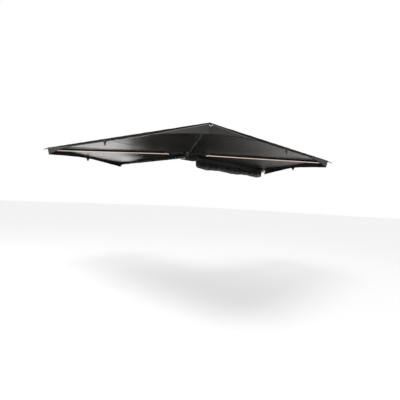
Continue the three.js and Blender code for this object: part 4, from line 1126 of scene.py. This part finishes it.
def travel_cover():
    section = smooth_through(COVER_SHARES, 6)
    stations = np.linspace(0, 1, COVER_STATIONS + 1)
    x = COVER_START + (COVER_END - COVER_START) * stations
    end = np.minimum(stations, 1 - stations)
    opened = np.clip(end / 0.11, 0, 1)
    closing = np.clip(end / 0.018, 0.06, 1) ** 0.6
    fold = COVER_FOLD * np.sin(2 * math.pi * 5 * stations)
    slack = COVER_FOLD * np.sin(2 * math.pi * 2.5 * stations)
    bulge = (COVER_BULGE + fold) * (0.35 + 0.65 * opened) * closing
    depth = (COVER_DEPTH + slack) * (0.84 + 0.16 * opened)
    depth = depth * (0.62 + 0.38 * np.sqrt(1 - (1 - np.clip(end / 0.022, 0, 1)) ** 2))
    around = np.linspace(0, 1, len(section))[None, :]
    y = COVER_BACK + section[None, :, 0] * bulge[:, None]
    z = COVER_TOP + section[None, :, 1] * depth[:, None]
    run = x[:, None]
    crease = np.sin(2 * math.pi * run / 0.155 + 2.2 * np.sin(5 * around) + 1.1 * np.sin(run * 9))
    crease += 0.6 * np.sin(2 * math.pi * run / 0.071 + 3.1 * around + 1.7 * np.sin(run * 13))
    crease += 0.5 * np.sin(2 * math.pi * (run / 0.23 + around * 1.4))
    loose = np.clip(around / 0.25, 0, 1) * np.clip((1 - around) / 0.06, 0.25, 1)
    y = y - 0.0021 * crease * loose * closing[:, None]
    z = z + 0.0016 * np.sin(2 * math.pi * run / 0.19 + 4 * around) * loose
    grid = np.stack([np.broadcast_to(run, y.shape), np.minimum(y, COVER_BACK), z], -1)
    cover = joined_sheets("cover_pouch", [(grid, 0)], [COVER_CLOTH], 0.0012)
    finish_piece(cover, "base", ["travel_cover"])
    row_of_teeth = grid[3:-3, -1] + [0, 0.0006, 0.0016]
    teeth = sewn_lines("cover_zip", [row_of_teeth], 0.0046, 0.0030, 0.0015, DARK_THREAD)
    seams = [grid[:, 6] + [0, -0.0010, 0], grid[3:-3, -5] + [0, -0.0012, 0]]
    stitches = sewn_lines("cover_stitches", seams)
    for piece, slot in ((teeth, "black_plastic"), (stitches, "cover_cloth")):
        finish_piece(piece, "base")


travel_cover()


# Bolts, screws and rivets

BRACKET_BACK = RAIL_FRONT + 0.0323
BRACKET_BOLT_HEIGHT = 0.0623
FOOT_BOLT_HEIGHT = 0.034
SADDLE_EAR = RAIL_FRONT - 0.0033
SADDLE_SCREW_HEIGHT = 0.0716


def hardware():
    """Heads of the fasteners that the frame leaves out, one piece for each body."""
    middle = {i: sum(corner.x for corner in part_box(f"rail_bracket_{i}")) / 2 for i in (1, 2, 3)}
    nuts = [(x + side, BRACKET_BOLT_HEIGHT) for x in middle.values() for side in (-0.018, 0.018)]
    nuts += [(x, FOOT_BOLT_HEIGHT) for x in (0.110, 0.160)]
    places = [((x, BRACKET_BACK, z), (0, 1, 0)) for x, z in nuts]
    bolts = bolt_heads("rail_bolts", places, (0.0075, 0.0052), (0.0098, 0.0016))
    screws = []
    for i in (1, 2, 3):
        x = sum(corner.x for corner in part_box(f"arm_a_saddle_{i}")) / 2
        screws += [((x + side, SADDLE_EAR, SADDLE_SCREW_HEIGHT), (0, -1, 0)) for side in (-0.009, 0.009)]
    fitting, cap = (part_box(f"rail_cap_{end}")[0] for end in ("front", "rear"))
    screws += [((x, fitting.y, 0.047), (0, -1, 0)) for x in (2.006, 2.046)]
    screws += [((cap.x, RAIL_FRONT + 0.013, z), (-1, 0, 0)) for z in (0.018, 0.083)]
    small = bolt_heads("rail_screws", screws, (0.0022, 0.0008), (0.0030, 0.0012), 12)
    for piece in (bolts, small):
        finish_piece(piece, "base")
    for arm in ARMS:
        place = beside(arm, tip_distance(arm) - TIP_SETBACK - 0.009, 0.0, TUBE_BASE[arm])
        rivet = bolt_heads(f"tip_rivet_{arm}", [(place, (0, 0, -1))], (0.0014, 0.0006), (0.0026, 0.0008), 12)
        finish_piece(rivet, BODY[arm])


hardware()


# Frame nodes keep their shape and get their finish, and their sharp edges are eased

NODE_FINISH = {
    "hub_foot": STEEL, "hub_pin": ZINC, "hub_nut": ZINC, "mounting_rail": ARM_METAL["a"],
    "rail_cap_rear": BLACK_PLASTIC, "rail_cap_front": GREY_PLASTIC,
    "arm_a_inner_cap": BLACK_PLASTIC, "cover_bead": BLACK_PLASTIC,
}
for i in range(1, 6):
    NODE_FINISH[f"thrust_washer_{i}"] = NATURAL_NYLON
for i in range(1, 4):
    NODE_FINISH.update({f"rail_bracket_{i}": STEEL, f"arm_a_saddle_{i}": STEEL})
for arm in ARMS:
    NODE_FINISH.update({f"arm_{arm}_tube": ARM_METAL[arm], f"arm_{arm}_tip_cap": BLACK_PLASTIC})
for arm in ARMS[1:]:
    NODE_FINISH.update({f"arm_{arm}_knuckle": STEEL, f"arm_{arm}_bolt": ZINC, f"corner_ring_{arm}": ZINC})
for arm in UPPER_ARMS:
    NODE_FINISH.update({f"light_channel_{arm}": ARM_METAL[arm], f"light_lens_{arm}": DIFFUSER[arm]})

EASED_EDGE = {"arm_": 0.0005, "rail_": 0.0006, "hub_": 0.0007, "light_lens": 0.0004}


def finish_node(name, material):
    node = nodes[name]
    node.data.materials.clear()
    node.data.materials.append(material)
    node.data.shade_smooth()
    with_settings(node.modifiers.new("weld", "WELD"), merge_threshold=1e-5)
    if name.startswith("corner_ring"):
        with_settings(node.modifiers.new("round", "SUBSURF"), levels=1, render_levels=1)
        return
    width = next((width for start, width in EASED_EDGE.items() if name.startswith(start)), 0.0003)
    bevel = with_settings(node.modifiers.new("edges", "BEVEL"), width=width, segments=2)
    with_settings(bevel, limit_method="ANGLE", angle_limit=math.radians(35), harden_normals=True)


for name, material in NODE_FINISH.items():
    finish_node(name, material)


# Floor, light and camera

FLOOR_LEVEL = -1.87
FLOOR_SIZE = 60.0
FLOOR_LIFT = 0.34  # glow that only direct rays see, so that the floor is near white and keeps its shadow
ROOM_LIGHT = 0.62
# Outline of the block whose colour paints shade and light into the cloth's reflections
FLAG_PROFILE = [(0.2, -1.8), (4.1, -1.8), (4.1, -0.5), (3.4, -0.03), (0.8, -0.03), (0.2, -0.33)]  # x and z
FLAG_SIDES = (0.2, 1.9)  # y of its front and back
WHITE = srgb("#ffffff")


def seen_directly(tree):
    """1 for rays that show the background: from the camera, in a mirror or through glass."""
    rays = add_node(tree, "ShaderNodeLightPath").node.outputs
    seen = rays["Is Camera Ray"]
    for kind in ("Is Glossy Ray", "Is Transmission Ray"):
        seen = add_node(tree, "ShaderNodeMath", {0: seen, 1: rays[kind]}, operation="MAXIMUM")
    return seen


def pale_floor():
    corners = [(-1, -1), (1, -1), (1, 1), (-1, 1)]
    points = [(x * FLOOR_SIZE, y * FLOOR_SIZE, FLOOR_LEVEL) for x, y in corners]
    material, tree, shader = new_finish("pale_floor", Roughness=0.9)
    paint(tree, shader, patches(tree, object_coordinates(tree), 1.5), "#e8e8e8", "#ededed")
    shader.inputs["Emission Color"].default_value = WHITE
    lift = add_node(tree, "ShaderNodeMath", {0: seen_directly(tree), 1: FLOOR_LIFT}, operation="MULTIPLY")
    tree.links.new(lift, shader.inputs["Emission Strength"])
    floor = mesh_object("floor", points, [(0, 1, 2, 3)], [material], smooth=False)


def studio_world():
    world = bpy.data.worlds.new("studio")
    world.use_nodes = True
    tree = world.node_tree
    tree.nodes.clear()
    room = add_node(tree, "ShaderNodeBackground", {"Color": WHITE, "Strength": ROOM_LIGHT})
    backdrop = add_node(tree, "ShaderNodeBackground", {"Color": WHITE, "Strength": 1.0})
    mix = add_node(tree, "ShaderNodeMixShader", {0: seen_directly(tree), 1: room, 2: backdrop})
    add_node(tree, "ShaderNodeOutputWorld", {"Surface": mix})
    bpy.context.scene.world = world


def painted_shade_and_light_flag():
    """A block beside the rail that only reflections show: black near the hub, which paints shade into the
    coated cloth's reflections there, and paler towards its far end, which paints light into them.
    """
    material, tree, shader = new_finish("painted_shade_and_light_flag", Roughness=0.9, Specular_IOR_Level=0.0)
    along = add_node(tree, "ShaderNodeSeparateXYZ", {"Vector": object_coordinates(tree)}, "X")
    share = add_node(tree, "ShaderNodeMapRange", {"Value": along, "From Min": 0.5, "From Max": 3.5})
    # Painted shade near the hub and painted light towards the far end, seen only in reflections
    paint(tree, shader, share, "#060606", "#e6e3e0")
    count = len(FLAG_PROFILE)
    points = [(x, y, z) for y in FLAG_SIDES for x, z in FLAG_PROFILE]
    faces = [tuple(range(count)), tuple(range(2 * count - 1, count - 1, -1))]
    faces += [(i, count + i, count + (i + 1) % count, (i + 1) % count) for i in range(count)]
    flag = mesh_object("painted_shade_and_light_flag", points, faces, [material], smooth=False)
    for rays in ("camera", "shadow", "diffuse", "transmission"):
        setattr(flag, "visible_" + rays, False)


def area_lamp(name, place, target, size, power, spread=180):
    data = with_settings(bpy.data.lights.new(name, "AREA"), shape="DISK", size=size, energy=power)
    data.spread = math.radians(spread)
    turn = (Vector(target) - Vector(place)).to_track_quat("-Z", "Y").to_euler()
    return with_settings(link_object(name, data), location=place, rotation_euler=turn)


# The camera stands low, beyond corner C, and looks a little up at the awning
LENS = 31.95
CAMERA_PLACE = Vector((-3.541, -3.517, -0.584))
YAW, PITCH, ROLL = (math.radians(v) for v in (42.43, 0.28, 2.66))


def photo_camera():
    ahead = Vector((math.cos(YAW) * math.cos(PITCH), math.sin(YAW) * math.cos(PITCH), math.sin(PITCH)))
    right = Vector((math.sin(YAW), -math.cos(YAW), 0))
    up = right.cross(ahead)
    across = right * math.cos(ROLL) + up * math.sin(ROLL)
    above = up * math.cos(ROLL) - right * math.sin(ROLL)
    data = with_settings(bpy.data.cameras.new("camera"), lens=LENS, sensor_width=36)
    camera = link_object("camera", data)
    turned = Matrix((across, above, -ahead)).transposed().to_4x4()
    camera.matrix_world = Matrix.Translation(CAMERA_PLACE) @ turned
    bpy.context.scene.camera = camera


bpy.context.scene.view_settings.view_transform = "Standard"
pale_floor()
studio_world()
painted_shade_and_light_flag()
area_lamp("key", (-4.0, -2.0, 5.0), (0, 0, 0), 3.0, 210)
area_lamp("left_fill", (-5.2, 2.6, 0.8), (-1.2, 1.2, 0.0), 1.8, 60)
# Low lamps behind the awning, which the coated cloth mirrors at its left end
BACK_LAMPS = {"back_left": ((0.50, 3.66, -0.55), 1.5), "back_middle": ((0.78, 3.36, -0.55), 1.2)}
for name, (place, power) in BACK_LAMPS.items():
    lamp = area_lamp(name, place, (-1.0, 1.0, 0.1), 2.1, power, 90)
    lamp.data.color = (1.0, 0.94, 0.90)
    lamp.visible_camera = False
photo_camera()
